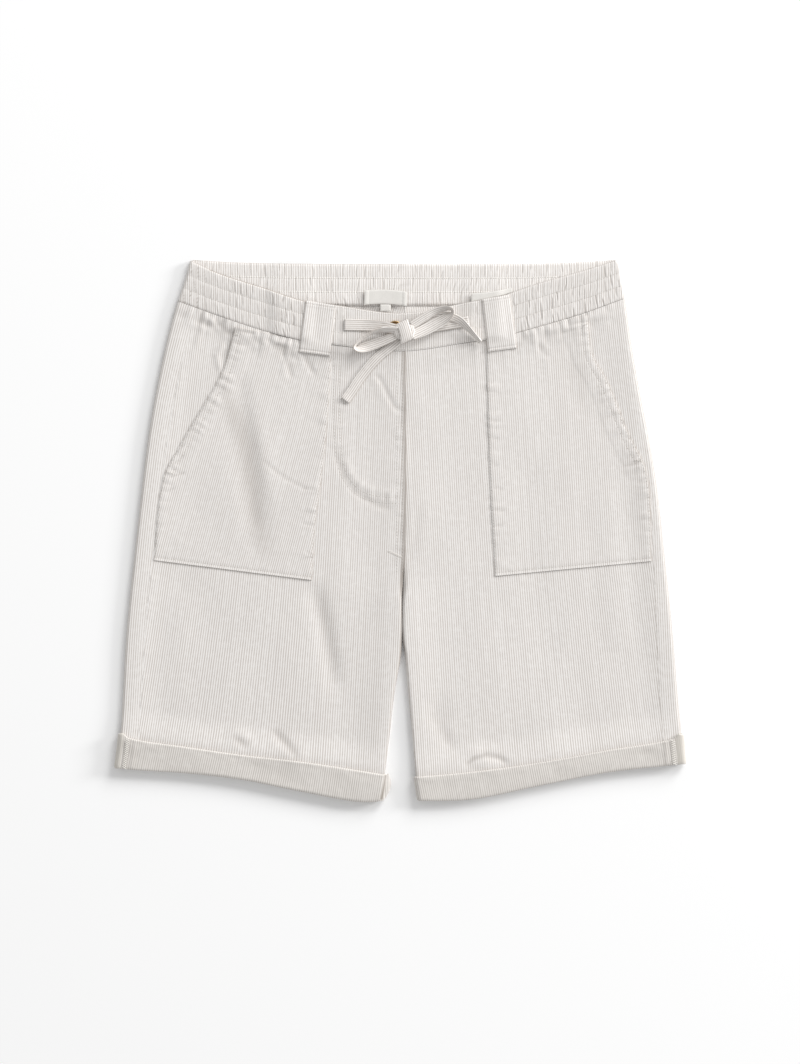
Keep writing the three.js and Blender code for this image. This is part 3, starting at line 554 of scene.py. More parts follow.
@dataclass(frozen=True)
class Seam:
    """A sewn line on the plan, in millimetres."""

    points: Array

    @staticmethod
    def through(*points: tuple[float, float], step: float = 4.0) -> "Seam":
        """A line through points, with its corners rounded."""
        raw = np.array(points, float)
        for _ in range(2):
            middle = np.stack([lerp(raw[:-1], raw[1:], 0.25), lerp(raw[:-1], raw[1:], 0.75)], 1).reshape(-1, 2)
            raw = np.concatenate([raw[:1], middle, raw[-1:]])
        return Seam(raw).spaced(step)

    def spaced(self, step: float) -> "Seam":
        """The same line with evenly spaced points."""
        run = np.concatenate([[0], np.cumsum(np.linalg.norm(np.diff(self.points, axis=0), axis=1))])
        at = np.linspace(0, run[-1], max(int(run[-1] / step), 2))
        return Seam(np.stack([np.interp(at, run, self.points[:, i]) for i in (0, 1)], -1))

    def offset(self, distance: float) -> "Seam":
        """The line moved to its left by a distance."""
        ahead = np.gradient(self.points, axis=0)
        ahead /= np.linalg.norm(ahead, axis=1, keepdims=True)
        return Seam(self.points + distance * np.stack([-ahead[:, 1], ahead[:, 0]], -1))

    def measure(self, x: Array, y: Array) -> tuple[Array, Array]:
        """Distance to the line and place along it.

        Args:
            x: first coordinate of the points.
            y: second coordinate.

        Returns:
            Distance and run along the line, in the shape of x.
        """
        best = np.full(x.shape, 1e9)
        along = np.zeros(x.shape)
        run = 0.0
        line = self.spaced(9.0).points
        for a, b in zip(line[:-1], line[1:]):
            d = b - a
            length = float(np.hypot(*d))
            t = np.clip(((x - a[0]) * d[0] + (y - a[1]) * d[1]) / length ** 2, 0, 1)
            gap = np.hypot(x - a[0] - t * d[0], y - a[1] - t * d[1])
            along = np.where(gap < best, run + t * length, along)
            best = np.minimum(gap, best)
            run += length
        return best, along

    def pull(self, x: Array, y: Array, tall: float, reach: float, seed: float, pitch: float = 8.0
             ) -> tuple[Array, Array]:
        """Short ripples across a sewn line, and the dip where it holds the cloth down.

        Args:
            x: first coordinate of the points.
            y: second coordinate.
            tall: height of the ripples.
            reach: how far from the line they fade.
            seed: picks their unevenness.
            pitch: mean distance between ripples.

        Returns:
            Height of the relief, and the painted shade in its creases.
        """
        gap, along = self.measure(x, y)
        near = bell(gap, reach)
        place = along / pitch + 0.4 * noise(along, gap * 0.5, 13.0, seed)
        size = tall * (0.1 + 1.1 * pick(place, seed) ** 2)
        painted_shade_depth = near * bell(np.sin(np.pi * place), 0.3) * size * 0.8 + 0.05 * bell(gap, 0.9)
        return near * size * crimp(place, 0.9) - 0.14 * bell(gap, 1.3), painted_shade_depth


def rumple(x: Array, y: Array, seed: float) -> Array:
    """Small unevenness of cloth that has been worn and laid flat."""
    turned = x * 0.94 + y * 0.34
    along = y * 0.94 - x * 0.34
    broad = 0.34 * noise(turned, along * 0.45, 34, seed)
    middle = 0.15 * noise(x * 0.8 - y * 0.6, x * 0.35 + y * 0.3, 15, seed + 2)
    fine = 0.05 * noise(x, y, 6, seed + 4)
    return broad + middle + fine


# Meshes


def quads(index: Array) -> Array:
    """Faces of a grid of vertex numbers."""
    return np.stack([index[:-1, :-1], index[:-1, 1:], index[1:, 1:], index[1:, :-1]], -1).reshape(-1, 4)


@dataclass
class ClothPiece:
    """A piece of cloth: a closed thin shell between an outer and an inner grid of points in millimetres."""

    name: str
    outer: Array
    inner: Array
    weave: Array
    finishes: list[bpy.types.Material]
    # Painted shade for each point of the grid, read by the finish.
    painted_shade: Array | None = None

    def build(self) -> bpy.types.Object:
        """Make the mesh.

        Returns:
            The piece's object.
        """
        shape = self.outer.shape[:2]
        size = shape[0] * shape[1]
        top = np.arange(size).reshape(shape)
        under = top + size
        faces = [
            quads(top), quads(under)[:, ::-1],
            quads(np.stack([under[0], top[0]])), quads(np.stack([top[-1], under[-1]])),
            quads(np.stack([under[:, 0], top[:, 0]], 1)), quads(np.stack([top[:, -1], under[:, -1]], 1)),
        ]
        points = np.concatenate([self.outer.reshape(-1, 3), self.inner.reshape(-1, 3)])
        weave = np.concatenate([self.weave.reshape(-1, 2)] * 2)
        kinds = np.concatenate([np.full(len(f), 1 if i == 1 and len(self.finishes) > 1 else 0)
                                for i, f in enumerate(faces)])
        painted_shade = None if self.painted_shade is None else np.concatenate([self.painted_shade.ravel()] * 2)
        return make_mesh(self.name, points, np.concatenate(faces), weave, self.finishes, kinds, painted_shade, True)


def make_mesh(name: str, points: Array, faces: Array, weave: Array, finishes: Sequence[bpy.types.Material],
              kinds: Array | None = None, painted_shade: Array | None = None, rims: bool = False) -> bpy.types.Object:
    """Make a smooth mesh whose faces point out.

    Args:
        name: the object's name.
        points: vertices in millimetres, before the shorts are centred.
        faces: vertex numbers, three or four to a face.
        weave: the cloth's own coordinates in millimetres, one pair for each vertex.
        finishes: its materials.
        kinds: which material each face has.
        painted_shade: a value for each vertex, read by the finish: painted shade that darkens its colour in creases,
            seams and along edges.
        rims: whether its rims stay sharp.

    Returns:
        The object.
    """
    placed = (points + SHIFT) * MM
    a, b, c = (placed[faces[:, i]] for i in (0, 1, 2))
    volume = np.einsum("ij,ij->i", a, np.cross(b, c)).sum()
    if faces.shape[1] == 4:
        d = placed[faces[:, 3]]
        volume += np.einsum("ij,ij->i", a, np.cross(c, d)).sum()
    if volume < 0:
        faces = faces[:, ::-1]
    mesh = bpy.data.meshes.new(name)
    mesh.vertices.add(len(placed))
    mesh.vertices.foreach_set("co", placed.ravel())
    mesh.loops.add(faces.size)
    mesh.loops.foreach_set("vertex_index", faces.ravel())
    mesh.polygons.add(len(faces))
    mesh.polygons.foreach_set("loop_start", np.arange(len(faces)) * faces.shape[1])
    mesh.update(calc_edges=True)
    mesh.polygons.foreach_set("use_smooth", np.ones(len(faces), bool))
    for finish in finishes:
        mesh.materials.append(finish)
    if kinds is not None:
        mesh.polygons.foreach_set("material_index", kinds.astype(np.int32))
    layer = mesh.uv_layers.new(name="weave")
    layer.data.foreach_set("uv", (weave[faces.ravel()] * MM).ravel())
    # Painted shade: stored on the vertices for the finish to darken the colour with.
    if painted_shade is not None:
        attribute = mesh.attributes.new("painted_shade", "FLOAT", "POINT")
        attribute.data.foreach_set("value", painted_shade.astype(np.float32))
    if rims:
        mesh.set_sharp_from_angle(angle=math.radians(55))
    mesh.validate()
    mesh.update()
    piece = bpy.data.objects.new(name, mesh)
    bpy.context.scene.collection.objects.link(piece)
    LOG.info("%s: %d triangles", name, len(faces) * (faces.shape[1] - 2))
    return piece


def swept(sections: Array, closed: bool) -> tuple[Array, Array]:
    """Points and faces of a solid swept along rings of points.

    Args:
        sections: rings by place and corner.
        closed: whether the last ring meets the first one; if not, both ends are capped.

    Returns:
        Points and four-cornered faces.
    """
    count, sides = sections.shape[:2]
    points = sections.reshape(-1, 3)
    index = np.arange(count * sides).reshape(count, sides)
    index = np.concatenate([index, index[:, :1]], 1)
    if closed:
        return points, quads(np.concatenate([index, index[:1]]))
    faces = [quads(index)]
    for ring, out in ((0, False), (count - 1, True)):
        ends = [[index[ring, 0], index[ring, j], index[ring, j + 1], index[ring, j + 2]]
                for j in range(1, sides - 2, 2)]
        cap = np.array(ends)
        faces.append(cap if out else cap[:, ::-1])
    return points, np.concatenate(faces)


def grain(points: Array, tilts: tuple[float, float], span: tuple[float, float], level: float) -> Array:
    """The cloth's own coordinates on a panel that lies flat: across the stripes and along them.

    Args:
        points: the panel's points.
        tilts: lean of the stripes in degrees at both ends of the span.
        span: x at both ends of the span.
        level: y at which the stripes' spacing is true.

    Returns:
        The coordinates, in millimetres.
    """
    x, y = points[..., 0], points[..., 1]
    tilt = np.radians(lerp(tilts[0], tilts[1], smoothstep(x, min(span), max(span)) if span[0] < span[1]
                           else 1 - smoothstep(x, span[1], span[0])))
    return np.stack([x - (y - level) * np.tan(tilt), y], -1)


def unrolled(points: Array, start: float = 0.0) -> Array:
    """The cloth's own coordinates on a panel that curves: the distance run along each row, and y."""
    steps = np.linalg.norm(np.diff(points[..., [0, 2]], axis=1), axis=-1)
    run = np.concatenate([np.zeros((len(points), 1)), np.cumsum(steps, axis=1)], 1)
    return np.stack([start + run, points[..., 1]], -1)


# Finishes


def linear(red: int, green: int, blue: int) -> tuple[float, float, float, float]:
    """Scene-linear colour of a colour as a screen shows it."""
    def part(value: int) -> float:
        share = value / 255
        return share / 12.92 if share <= 0.04045 else ((share + 0.055) / 1.055) ** 2.4
    return (part(red), part(green), part(blue), 1.0)


class Graph:
    """Adds nodes to a tree and joins them."""

    def __init__(self, tree: bpy.types.NodeTree) -> None:
        """Keep the tree."""
        self.tree = tree

    def feed(self, socket: bpy.types.NodeSocket, value: object) -> None:
        """Join a socket to another one, or set its value."""
        if isinstance(value, bpy.types.NodeSocket):
            self.tree.links.new(value, socket)
        else:
            socket.default_value = value

    def node(self, kind: str, inputs: dict | None = None, **settings: object) -> bpy.types.Node:
        """Add a node with its settings and inputs."""
        made = self.tree.nodes.new(kind)
        for name, value in settings.items():
            setattr(made, name, value)
        for key, value in (inputs or {}).items():
            self.feed(made.inputs[key], value)
        return made

    def math(self, operation: str, *values: object, clamp: bool = False) -> bpy.types.NodeSocket:
        """Add a math node."""
        made = self.node("ShaderNodeMath", dict(enumerate(values)), operation=operation, use_clamp=clamp)
        return made.outputs[0]

    def mix(self, factor: object, first: object, second: object) -> bpy.types.NodeSocket:
        """Blend two colours."""
        made = self.node("ShaderNodeMix", {0: factor, 6: first, 7: second}, data_type="RGBA")
        return made.outputs[2]

    def noise(self, vector: object, scale: float, detail: float = 2.0) -> bpy.types.NodeSocket:
        """Noise at a scale in lumps per metre."""
        made = self.node("ShaderNodeTexNoise", {"Vector": vector, "Scale": scale, "Detail": detail})
        return made.outputs[0]


def shader_group(name: str, inputs: Sequence[tuple[str, str]], outputs: Sequence[tuple[str, str]]
                 ) -> tuple[bpy.types.NodeTree, Graph, bpy.types.Node, bpy.types.Node]:
    """Start a shader group with named sockets.

    Args:
        name: its name.
        inputs: names and socket kinds.
        outputs: names and socket kinds.

    Returns:
        The tree, its graph, and its input and output nodes.
    """
    tree = bpy.data.node_groups.new(name, "ShaderNodeTree")
    for direction, sockets in (("INPUT", inputs), ("OUTPUT", outputs)):
        for label, kind in sockets:
            tree.interface.new_socket(label, in_out=direction, socket_type=kind)
    graph = Graph(tree)
    return tree, graph, graph.node("NodeGroupInput"), graph.node("NodeGroupOutput")


def stripes_group() -> bpy.types.NodeTree:
    """Woven stripes along the cloth: a mask that is 1 on the dark yarn."""
    tree, g, given, result = shader_group(
        "woven_stripes", [("Cloth", "NodeSocketVector"), ("Pitch", "NodeSocketFloat"), ("Share", "NodeSocketFloat")],
        [("Stripe", "NodeSocketFloat")])
    parts = g.node("ShaderNodeSeparateXYZ", {0: given.outputs["Cloth"]})
    wander = g.math("MULTIPLY", g.math("SUBTRACT", g.noise(given.outputs["Cloth"], 55.0), 0.5), 0.22)
    place = g.math("ADD", g.math("DIVIDE", parts.outputs[0], given.outputs["Pitch"]), wander)
    phase = g.math("SINE", g.math("MULTIPLY", place, 2 * math.pi))
    level = g.math("SUBTRACT", g.math("MULTIPLY", given.outputs["Share"], 2.0), 1.0)
    mask = g.math("ADD", g.math("MULTIPLY", g.math("ADD", phase, level), 1.4), 0.5, clamp=True)
    yarn = g.node("ShaderNodeTexWhiteNoise", {"W": g.math("FLOOR", g.math("ADD", place, 0.25))},
                  noise_dimensions="1D").outputs["Value"]
    slub = g.noise(given.outputs["Cloth"], 210.0, 3.0)
    strength = g.math("ADD", g.math("MULTIPLY", yarn, 0.35), g.math("ADD", g.math("MULTIPLY", slub, 1.3), 0.12))
    g.feed(result.inputs["Stripe"], g.math("MULTIPLY", mask, strength, clamp=True))
    return tree


def weave_group() -> bpy.types.NodeTree:
    """Plain weave: height of the yarns, and how light each one is."""
    tree, g, given, result = shader_group(
        "plain_weave", [("Cloth", "NodeSocketVector"), ("Yarn", "NodeSocketFloat")],
        [("Height", "NodeSocketFloat"), ("Tone", "NodeSocketFloat")])
    parts = g.node("ShaderNodeSeparateXYZ", {0: given.outputs["Cloth"]})
    across = g.math("MULTIPLY", g.math("DIVIDE", parts.outputs[0], given.outputs["Yarn"]), math.pi)
    along = g.math("MULTIPLY", g.math("DIVIDE", parts.outputs[1], given.outputs["Yarn"]), math.pi)
    over = g.math("MULTIPLY", g.math("SINE", across), g.math("SINE", along))
    fuzz = g.noise(given.outputs["Cloth"], 1400.0, 3.0)
    lumps = g.noise(given.outputs["Cloth"], 320.0, 3.0)
    height = g.math("ADD", g.math("MULTIPLY", over, 0.3), g.math("ADD", g.math("MULTIPLY", fuzz, 0.4), lumps))
    g.feed(result.inputs["Height"], height)
    g.feed(result.inputs["Tone"], g.math("ADD", g.math("MULTIPLY", fuzz, 0.5), g.math("MULTIPLY", lumps, 0.5)))
    return tree


def wear_group() -> bpy.types.NodeTree:
    """Slow changes of tone from washing and pressing."""
    tree, g, given, result = shader_group(
        "washed_tone", [("Place", "NodeSocketVector")], [("Tone", "NodeSocketFloat")])
    broad = g.noise(given.outputs["Place"], 9.0, 3.0)
    close = g.noise(given.outputs["Place"], 48.0, 4.0)
    g.feed(result.inputs["Tone"], g.math("ADD", g.math("MULTIPLY", broad, 0.6), g.math("MULTIPLY", close, 0.4)))
    return tree


@dataclass(frozen=True)
class ClothFinish:
    """How a cloth looks: colours as a screen shows them, sizes in millimetres."""

    name: str
    ground: tuple[int, int, int]
    stripe: tuple[int, int, int]
    pitch: float
    share: float = 0.5
    yarn: float = 0.42
    bump: float = 0.35
    roughness: float = 0.9
    sheen: float = 0.18

    def make(self, groups: dict[str, bpy.types.NodeTree]) -> bpy.types.Material:
        """Make the material.

        Args:
            groups: the shader groups by name.

        Returns:
            The material.
        """
        material = bpy.data.materials.new(self.name)
        material.use_nodes = True
        g = Graph(material.node_tree)
        shader = material.node_tree.nodes["Principled BSDF"]
        cloth = g.node("ShaderNodeUVMap", uv_map="weave").outputs[0]
        place = g.node("ShaderNodeTexCoord").outputs["Object"]
        stripes = g.node("ShaderNodeGroup", node_tree=groups["stripes"])
        g.feed(stripes.inputs["Cloth"], cloth)
        g.feed(stripes.inputs["Pitch"], self.pitch * MM)
        g.feed(stripes.inputs["Share"], self.share)
        weave = g.node("ShaderNodeGroup", node_tree=groups["weave"])
        g.feed(weave.inputs["Cloth"], cloth)
        g.feed(weave.inputs["Yarn"], self.yarn * MM)
        wear = g.node("ShaderNodeGroup", node_tree=groups["wear"])
        g.feed(wear.inputs["Place"], place)
        colour = g.mix(stripes.outputs["Stripe"], linear(*self.ground), linear(*self.stripe))
        darker = tuple(c * 0.93 for c in linear(*self.ground)[:3]) + (1.0,)
        # Painted shade: the vertex attribute darkens the colour towards a deep tone of the stripe in creases, seams
        # and along edges.
        crease = g.node("ShaderNodeAttribute", attribute_name="painted_shade").outputs["Fac"]
        shade = g.math("MULTIPLY", crease, 0.42, clamp=True)
        painted_shade_depth = tuple(c * k for c, k in zip(linear(*self.stripe)[:3], (0.5, 0.47, 0.44))) + (1.0,)
        colour = g.mix(shade, colour, painted_shade_depth)
        tone = g.math("ADD", g.math("MULTIPLY", wear.outputs["Tone"], 0.22),
                      g.math("MULTIPLY", weave.outputs["Tone"], 0.16), clamp=True)
        g.feed(shader.inputs["Base Color"], g.mix(tone, colour, g.mix(0.5, colour, darker)))
        g.feed(shader.inputs["Roughness"], self.roughness)
        shader.inputs["Sheen Weight"].default_value = self.sheen
        shader.inputs["Sheen Roughness"].default_value = 0.6
        shader.inputs["Specular IOR Level"].default_value = 0.2
        relief = g.math("ADD", weave.outputs["Height"], g.math("MULTIPLY", stripes.outputs["Stripe"], -0.5))
        bump = g.node("ShaderNodeBump", {"Strength": self.bump, "Distance": 0.12 * MM, "Height": relief})
        g.feed(shader.inputs["Normal"], bump.outputs[0])
        return material


class Finishes:
    """Every material of the shorts and of the floor."""

    def __init__(self) -> None:
        """Make the shared groups and the materials."""
        self.groups = {"stripes": stripes_group(), "weave": weave_group(), "wear": wear_group()}
        self.cloth = self.made("striped_cotton", (236, 233, 230), (199, 192, 186), 2.05)
        self.wrong = self.made("striped_cotton_wrong_side", (225, 221, 216), (192, 186, 180), 2.05, bump=0.45)
        # Inside faces: a lighter copy of the cloth, painted light for faces that lie in shade inside the shorts.
        self.inside = self.made("striped_cotton_inside_painted_light", (243, 240, 237), (211, 204, 198), 2.2)
        self.strip = self.made("seam_allowance", (216, 212, 205), (207, 202, 194), 2.0, bump=0.5)
        self.tape = self.made("woven_tape", (238, 234, 230), (192, 184, 177), 1.9, share=0.42, bump=0.5)
        self.thread = self.made("cotton_thread", (217, 213, 208), (209, 204, 197), 0.7, yarn=0.25, sheen=0.3)
        self.overlock = self.made("overlock_thread", (246, 244, 239), (238, 234, 226), 0.9, yarn=0.3, sheen=0.3)
        self.label = self.made("woven_label", (227, 224, 219), (220, 217, 212), 0.6, yarn=0.2, roughness=0.62)
        self.brass = self.metal("aged_brass", (216, 186, 142), (166, 136, 98))
        self.floor = self.paper("studio_floor", (252, 252, 252))

    def made(self, name: str, ground: tuple[int, int, int], stripe: tuple[int, int, int], pitch: float,
             **more: float) -> bpy.types.Material:
        """Make a cloth."""
        return ClothFinish(name, ground, stripe, pitch, **more).make(self.groups)

    def metal(self, name: str, bright: tuple[int, int, int], dull: tuple[int, int, int]) -> bpy.types.Material:
        """Make a metal that is duller in patches."""
        material = bpy.data.materials.new(name)
        material.use_nodes = True
        g = Graph(material.node_tree)
        shader = material.node_tree.nodes["Principled BSDF"]
        place = g.node("ShaderNodeTexCoord").outputs["Object"]
        patch = g.noise(place, 420.0, 4.0)
        g.feed(shader.inputs["Base Color"], g.mix(patch, linear(*bright), linear(*dull)))
        g.feed(shader.inputs["Roughness"], g.math("ADD", g.math("MULTIPLY", patch, 0.3), 0.22))
        shader.inputs["Metallic"].default_value = 1.0
        return material

    def paper(self, name: str, colour: tuple[int, int, int]) -> bpy.types.Material:
        """Make the plain floor."""
        material = bpy.data.materials.new(name)
        material.use_nodes = True
        shader = material.node_tree.nodes["Principled BSDF"]
        shader.inputs["Base Color"].default_value = linear(*colour)
        shader.inputs["Roughness"].default_value = 1.0
        shader.inputs["Specular IOR Level"].default_value = 0.0
        return material


# The shorts' pieces


def body_relief(side: Side, x: Array, y: Array) -> tuple[Array, Array]:
    """Relief that the front and everything on it share.

    Args:
        side: the wearer's side.
        x: plan position.
        y: plan position.

    Returns:
        Height to add to the form, in millimetres, and the painted shade in its creases.
    """
    seed = 3.0 if side is Side.RIGHT else 11.0
    drop = FRONT_WAIST.read("seam", x) - y
    outward = np.abs(x - CENTRE_FRONT_X)
    gathered_part = smoothstep(outward, 62, 84) * (1 - 0.8 * bell(x - LOOP_MIDDLE[side], 17))
    near_fold = 0.35 + 0.65 * smoothstep(np.abs(x - fold_x(side, y)), 3, 26)
    fanned = x - (x - CENTRE_FRONT_X) * np.clip(drop, 0, 60) * 0.0012
    short, painted_shade_depth = puckers(fanned, drop, 7.2, seed)
    return rumple(x, y, seed) * near_fold + short * gathered_part * near_fold, painted_shade_depth * gathered_part * near_fold


@dataclass
class PocketShape:
    """The plan of one patch pocket."""

    side: Side
    table: Table = field(init=False)
    gape: Gape = field(init=False)

    def __post_init__(self) -> None:
        """Look up the side's sizes."""
        self.table = POCKETS[self.side]
        self.gape = GAPES[self.side]

    def point(self, down: Array | float, across: Array | float) -> tuple[Array, Array]:
        """Plan position at a share of the way down and across from the outer edge."""
        read = self.table.read
        x = lerp(read("outer_x", down), read("inner_x", down), across)
        y = lerp(read("outer_y", down), read("inner_y", down), across)
        return x, y

    def edge(self, start: tuple[float, float], end: tuple[float, float], inset: float = 0.0) -> Seam:
        """A line between two places on the pocket, moved inward."""
        t = np.linspace(0, 1, 40)
        x, y = self.point(lerp(start[0], end[0], t), lerp(start[1], end[1], t))
        return Seam(np.stack([x, y], -1)).offset(inset)

    def opening_end(self) -> float:
        """How far down the slanted opening reaches."""
        return 0.66 if self.side is Side.RIGHT else 0.6

    def outer(self, inset: float, start: float = 0.02, end: float = 0.985) -> Seam:
        """Line along the outer edge."""
        return self.edge((start, 0), (end, 0), inset * self.side.inward)

    def inner(self, inset: float) -> Seam:
        """Line along the inner edge."""
        return self.edge((0.02, 1), (0.985, 1), -inset * self.side.inward)

    def foot(self, inset: float) -> Seam:
        """Line along the bottom edge."""
        return self.edge((1, 0.01), (1, 0.99), inset * self.side.inward)


@dataclass(frozen=True)
class Crease:
    """A soft fold along a line: a trough if its height is negative; its shade is how much painted shade it gets."""

    line: Seam
    tall: float
    width: float
    shade: float = 0.5


class Relief:
    """Height of a piece's surface above its form, and how much painted shade each point gets in creases, seams and
    along edges.
    """

    def __init__(self, x: Array, y: Array, first: tuple[Array, Array] | None = None) -> None:
        """Start from what a piece shares with the cloth under it."""
        self.x, self.y = np.broadcast_arrays(x, y)
        self.height = np.zeros(self.x.shape)
        self.painted_shade_depth = np.zeros(self.x.shape)
        if first is not None:
            self.add(first)

    def add(self, pair: tuple[Array, Array], share: Array | float = 1.0) -> None:
        """Add a feature."""
        self.height = self.height + pair[0] * share
        self.painted_shade_depth = self.painted_shade_depth + pair[1] * share

    def fold(self, crease: Crease) -> None:
        """Add a soft fold, with painted shade where it is a trough, or at its lower side where it is a ridge."""
        gap, along = crease.line.measure(self.x, self.y)
        total = float(np.linalg.norm(np.diff(crease.line.points, axis=0), axis=1).sum())
        fade = min(2 * crease.width + crease.width ** 2 / 4, 0.45 * total)
        ends = smoothstep(along, -0.1, fade) * (1 - smoothstep(along, total - fade, total + 0.1))
        shape = bell(gap, crease.width) * ends
        self.add((crease.tall * shape, crease.shade * bell(gap, crease.width * 0.8) * ends))

    def sewn(self, line: Seam, tall: float, reach: float, seed: float, pitch: float = 8.0) -> None:
        """Add the ripples and the dip along a sewn line."""
        self.add(line.pull(self.x, self.y, tall, reach, seed, pitch))


@dataclass
class Tailor:
    """Makes every piece of cloth of the shorts."""

    finishes: Finishes
    detail: float = 1.0
    made: dict[str, bpy.types.Object] = field(default_factory=dict)

    def count(self, number: int) -> int:
        """Number of steps at this detail."""
        return max(int(number * self.detail), 4)

    def keep(self, piece: bpy.types.Object, node: str) -> None:
        """Remember a piece, and let it stand for its solid."""
        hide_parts(node)
        self.made[node] = piece

    def front(self, side: Side) -> None:
        """Front of a leg: side seam to centre front, round to the inseam below the crotch."""
        values = np.concatenate([np.linspace(0, 1, self.count(250) + 1), np.linspace(1, 2, 9)[1:]])
        rows, count = leg_rows(side, column(values)), len(values)
        turn_at = stations(1, INSEAM_END, 12)[1:]
        base = tube_strip(LEG, side, Zone.FRONT, stations(0, 1, self.count(126)), rows, count, 0)
        relief = self.front_relief(side, base)
        edge = relief.height[:, -1:] * turn_at[None, :]
        turn = tube_strip(LEG, side, Zone.INNER, turn_at, rows, count, edge)
        turn_under = tube_strip(LEG, side, Zone.INNER, turn_at, rows, count, edge - CLOTH)
        outer = np.concatenate([base + up(relief.height), turn], 1)
        inner = np.concatenate([base + up(relief.height - CLOTH), turn_under], 1)
        # Painted shade: darker in the crotch gap, and along the turned inside edge that faces the lights, most on
        # the right leg.
        crotch_painted_shade = (1.6 * bell(turn[..., 1] + 108, 13) + 0.9 * bell(turn[..., 1] + 46, 17)) * smoothstep(1 - turn_at, 0.1, 0.7)[None, :]
        shade = (2.2 if side is Side.RIGHT else 0.5) * (1 - turn_at[None, :])
        painted_shade = np.concatenate([relief.painted_shade_depth, relief.painted_shade_depth[:, -1:] * turn_at[None, :] + crotch_painted_shade + shade], 1)
        tilts = (8.6, 2.5) if side is Side.RIGHT else (-7.2, -3.2)
        span = (-260.0, -10.0) if side is Side.RIGHT else (260.0, 10.0)
        weave = grain(outer, tilts, span, 60.0)
        if side is Side.RIGHT:
            for face in (outer, inner):
                lap = smoothstep(face[..., 1], CROTCH_Y, CROTCH_Y + 10) * bell(face[..., 0] - CENTRE_FRONT_X, 3.0)
                face += np.stack([0.9 * lap, 0 * lap, 0.22 * lap], -1)
        piece = ClothPiece(f"front_of_leg_{side.value}", outer, inner, weave,
                           [self.finishes.cloth, self.finishes.wrong], painted_shade).build()
        self.keep(piece, f"front_{side.value}")

    def front_relief(self, side: Side, base: Array) -> Relief:
        """Relief of a front: rumples, puckers along its seams, and the fly.

        Args:
            side: the wearer's side.
            base: the panel's points.

        Returns:
            The relief.
        """
        x, y = base[..., 0], base[..., 1]
        relief = Relief(x, y, body_relief(side, x, y))
        from_seam = np.abs(x - seam_x(side, y))
        place = y / 8.4 + 0.4 * noise(y, x * 0.2, 13, 4)
        pull = 0.3 * bell(from_seam, 6) * pick(place, 2) ** 2
        # Painted shade along the side seam, strongest on the left leg.
        seam_painted_shade = 0.12 if side is Side.RIGHT else 1.6 * (0.3 + 0.7 * pick(y / 3.1, 19)) * smoothstep(-y, -60, 60)
        relief.add((pull * crimp(place, 0.9), seam_painted_shade * bell(from_seam, 0.8)))
        to_cuff = y - (HEM[side].read("top", x) + HEM_GAP)
        # A dip, and painted shade just above the cuff.
        relief.add((-0.3 * bell(to_cuff, 3), 0.2 * bell(to_cuff, 1.6)))
        # Along the centre: a fly ridge above the crotch, and painted shade on the centre line below it.
        middle = np.abs(x - CENTRE_FRONT_X)
        fly = smoothstep(y, CROTCH_Y - 2, CROTCH_Y + 8)
        if side is Side.RIGHT:
            relief.add((0.12 * bell(np.maximum(middle - 40, 0), 3) * smoothstep(y, 28, 44) * fly, 0))
            relief.add((0.3 * bell(middle, 5) * fly, 0.12 * bell(middle, 0.8) * (1 - fly)))
            relief.sewn(FLY_CURVE, 0.5, 5.0, 6.0)
            relief.sewn(FLY_CURVE.offset(-5.5), 0.22, 5.0, 6.5)
            relief.sewn(CENTRE_ROW, 0.3, 5.0, 7.5, 11.0)
        else:
            relief.add((-0.05 * bell(middle, 1.2) * fly, 0.12 * bell(middle, 0.7) * (1 - fly)))
        for crease in FRONT_CREASES[side]:
            relief.fold(crease)
        return relief

    def back(self, side: Side) -> None:
        """Back of a leg: inseam, floor, round the outer fold, up to the side seam."""
        values = np.concatenate([np.linspace(0, 1, self.count(170) + 1), np.linspace(1, 2, 7)[1:]])
        rows, count = leg_rows(side, column(values)), len(values)
        parts, under, painted_shades = [], [], []
        zones = [(Zone.INNER, stations(-INSEAM_END, -1, 6)), (Zone.BACK, stations(1, 0, 36)[1:]),
                 (Zone.FOLD, stations(-1, 1, self.count(20))[1:]), (Zone.WRAP, stations(0, 1, self.count(12))[1:])]
        for zone, at in zones:
            base = tube_strip(LEG, side, zone, at, rows, count, 0)
            x, y = base[..., 0], base[..., 1]
            relief = Relief(x, y)
            shown = {Zone.WRAP: 1.0, Zone.FOLD: smoothstep(at, -0.2, 1)[None, :]}.get(zone, 0.0)
            relief.add(body_relief(side, x, y), shown)
            # Painted shade: along the outer fold where it faces the lights, at the side seam and in the crotch.
            if zone is Zone.FOLD:
                lit = 0.4 if side is Side.RIGHT else 1.5
                relief.painted_shade_depth = relief.painted_shade_depth + lit * (1 - smoothstep(at, 0.1, 1))[None, :]
            if zone is Zone.WRAP:
                gap = np.abs(x - seam_x(side, y))
                relief.add((-0.05 * bell(gap, 1.0), 0.03 * bell(gap, 0.7)))
            if zone is Zone.INNER:
                relief.painted_shade_depth = 1.6 * bell(y + 108, 13) * smoothstep(1 - np.abs(at), 0, 0.6)[None, :]
            parts.append(tube_strip(LEG, side, zone, at, rows, count, relief.height))
            under.append(tube_strip(LEG, side, zone, at, rows, count, relief.height - CLOTH))
            painted_shades.append(relief.painted_shade_depth)
        outer, inner = np.concatenate(parts, 1), np.concatenate(under, 1)
        weave = unrolled(outer)
        weave[..., 0] -= weave[:, -1:, 0]
        piece = ClothPiece(f"back_of_leg_{side.value}", outer, inner, weave,
                           [self.finishes.cloth, self.finishes.inside], np.concatenate(painted_shades, 1)).build()
        self.keep(piece, f"back_{side.value}")

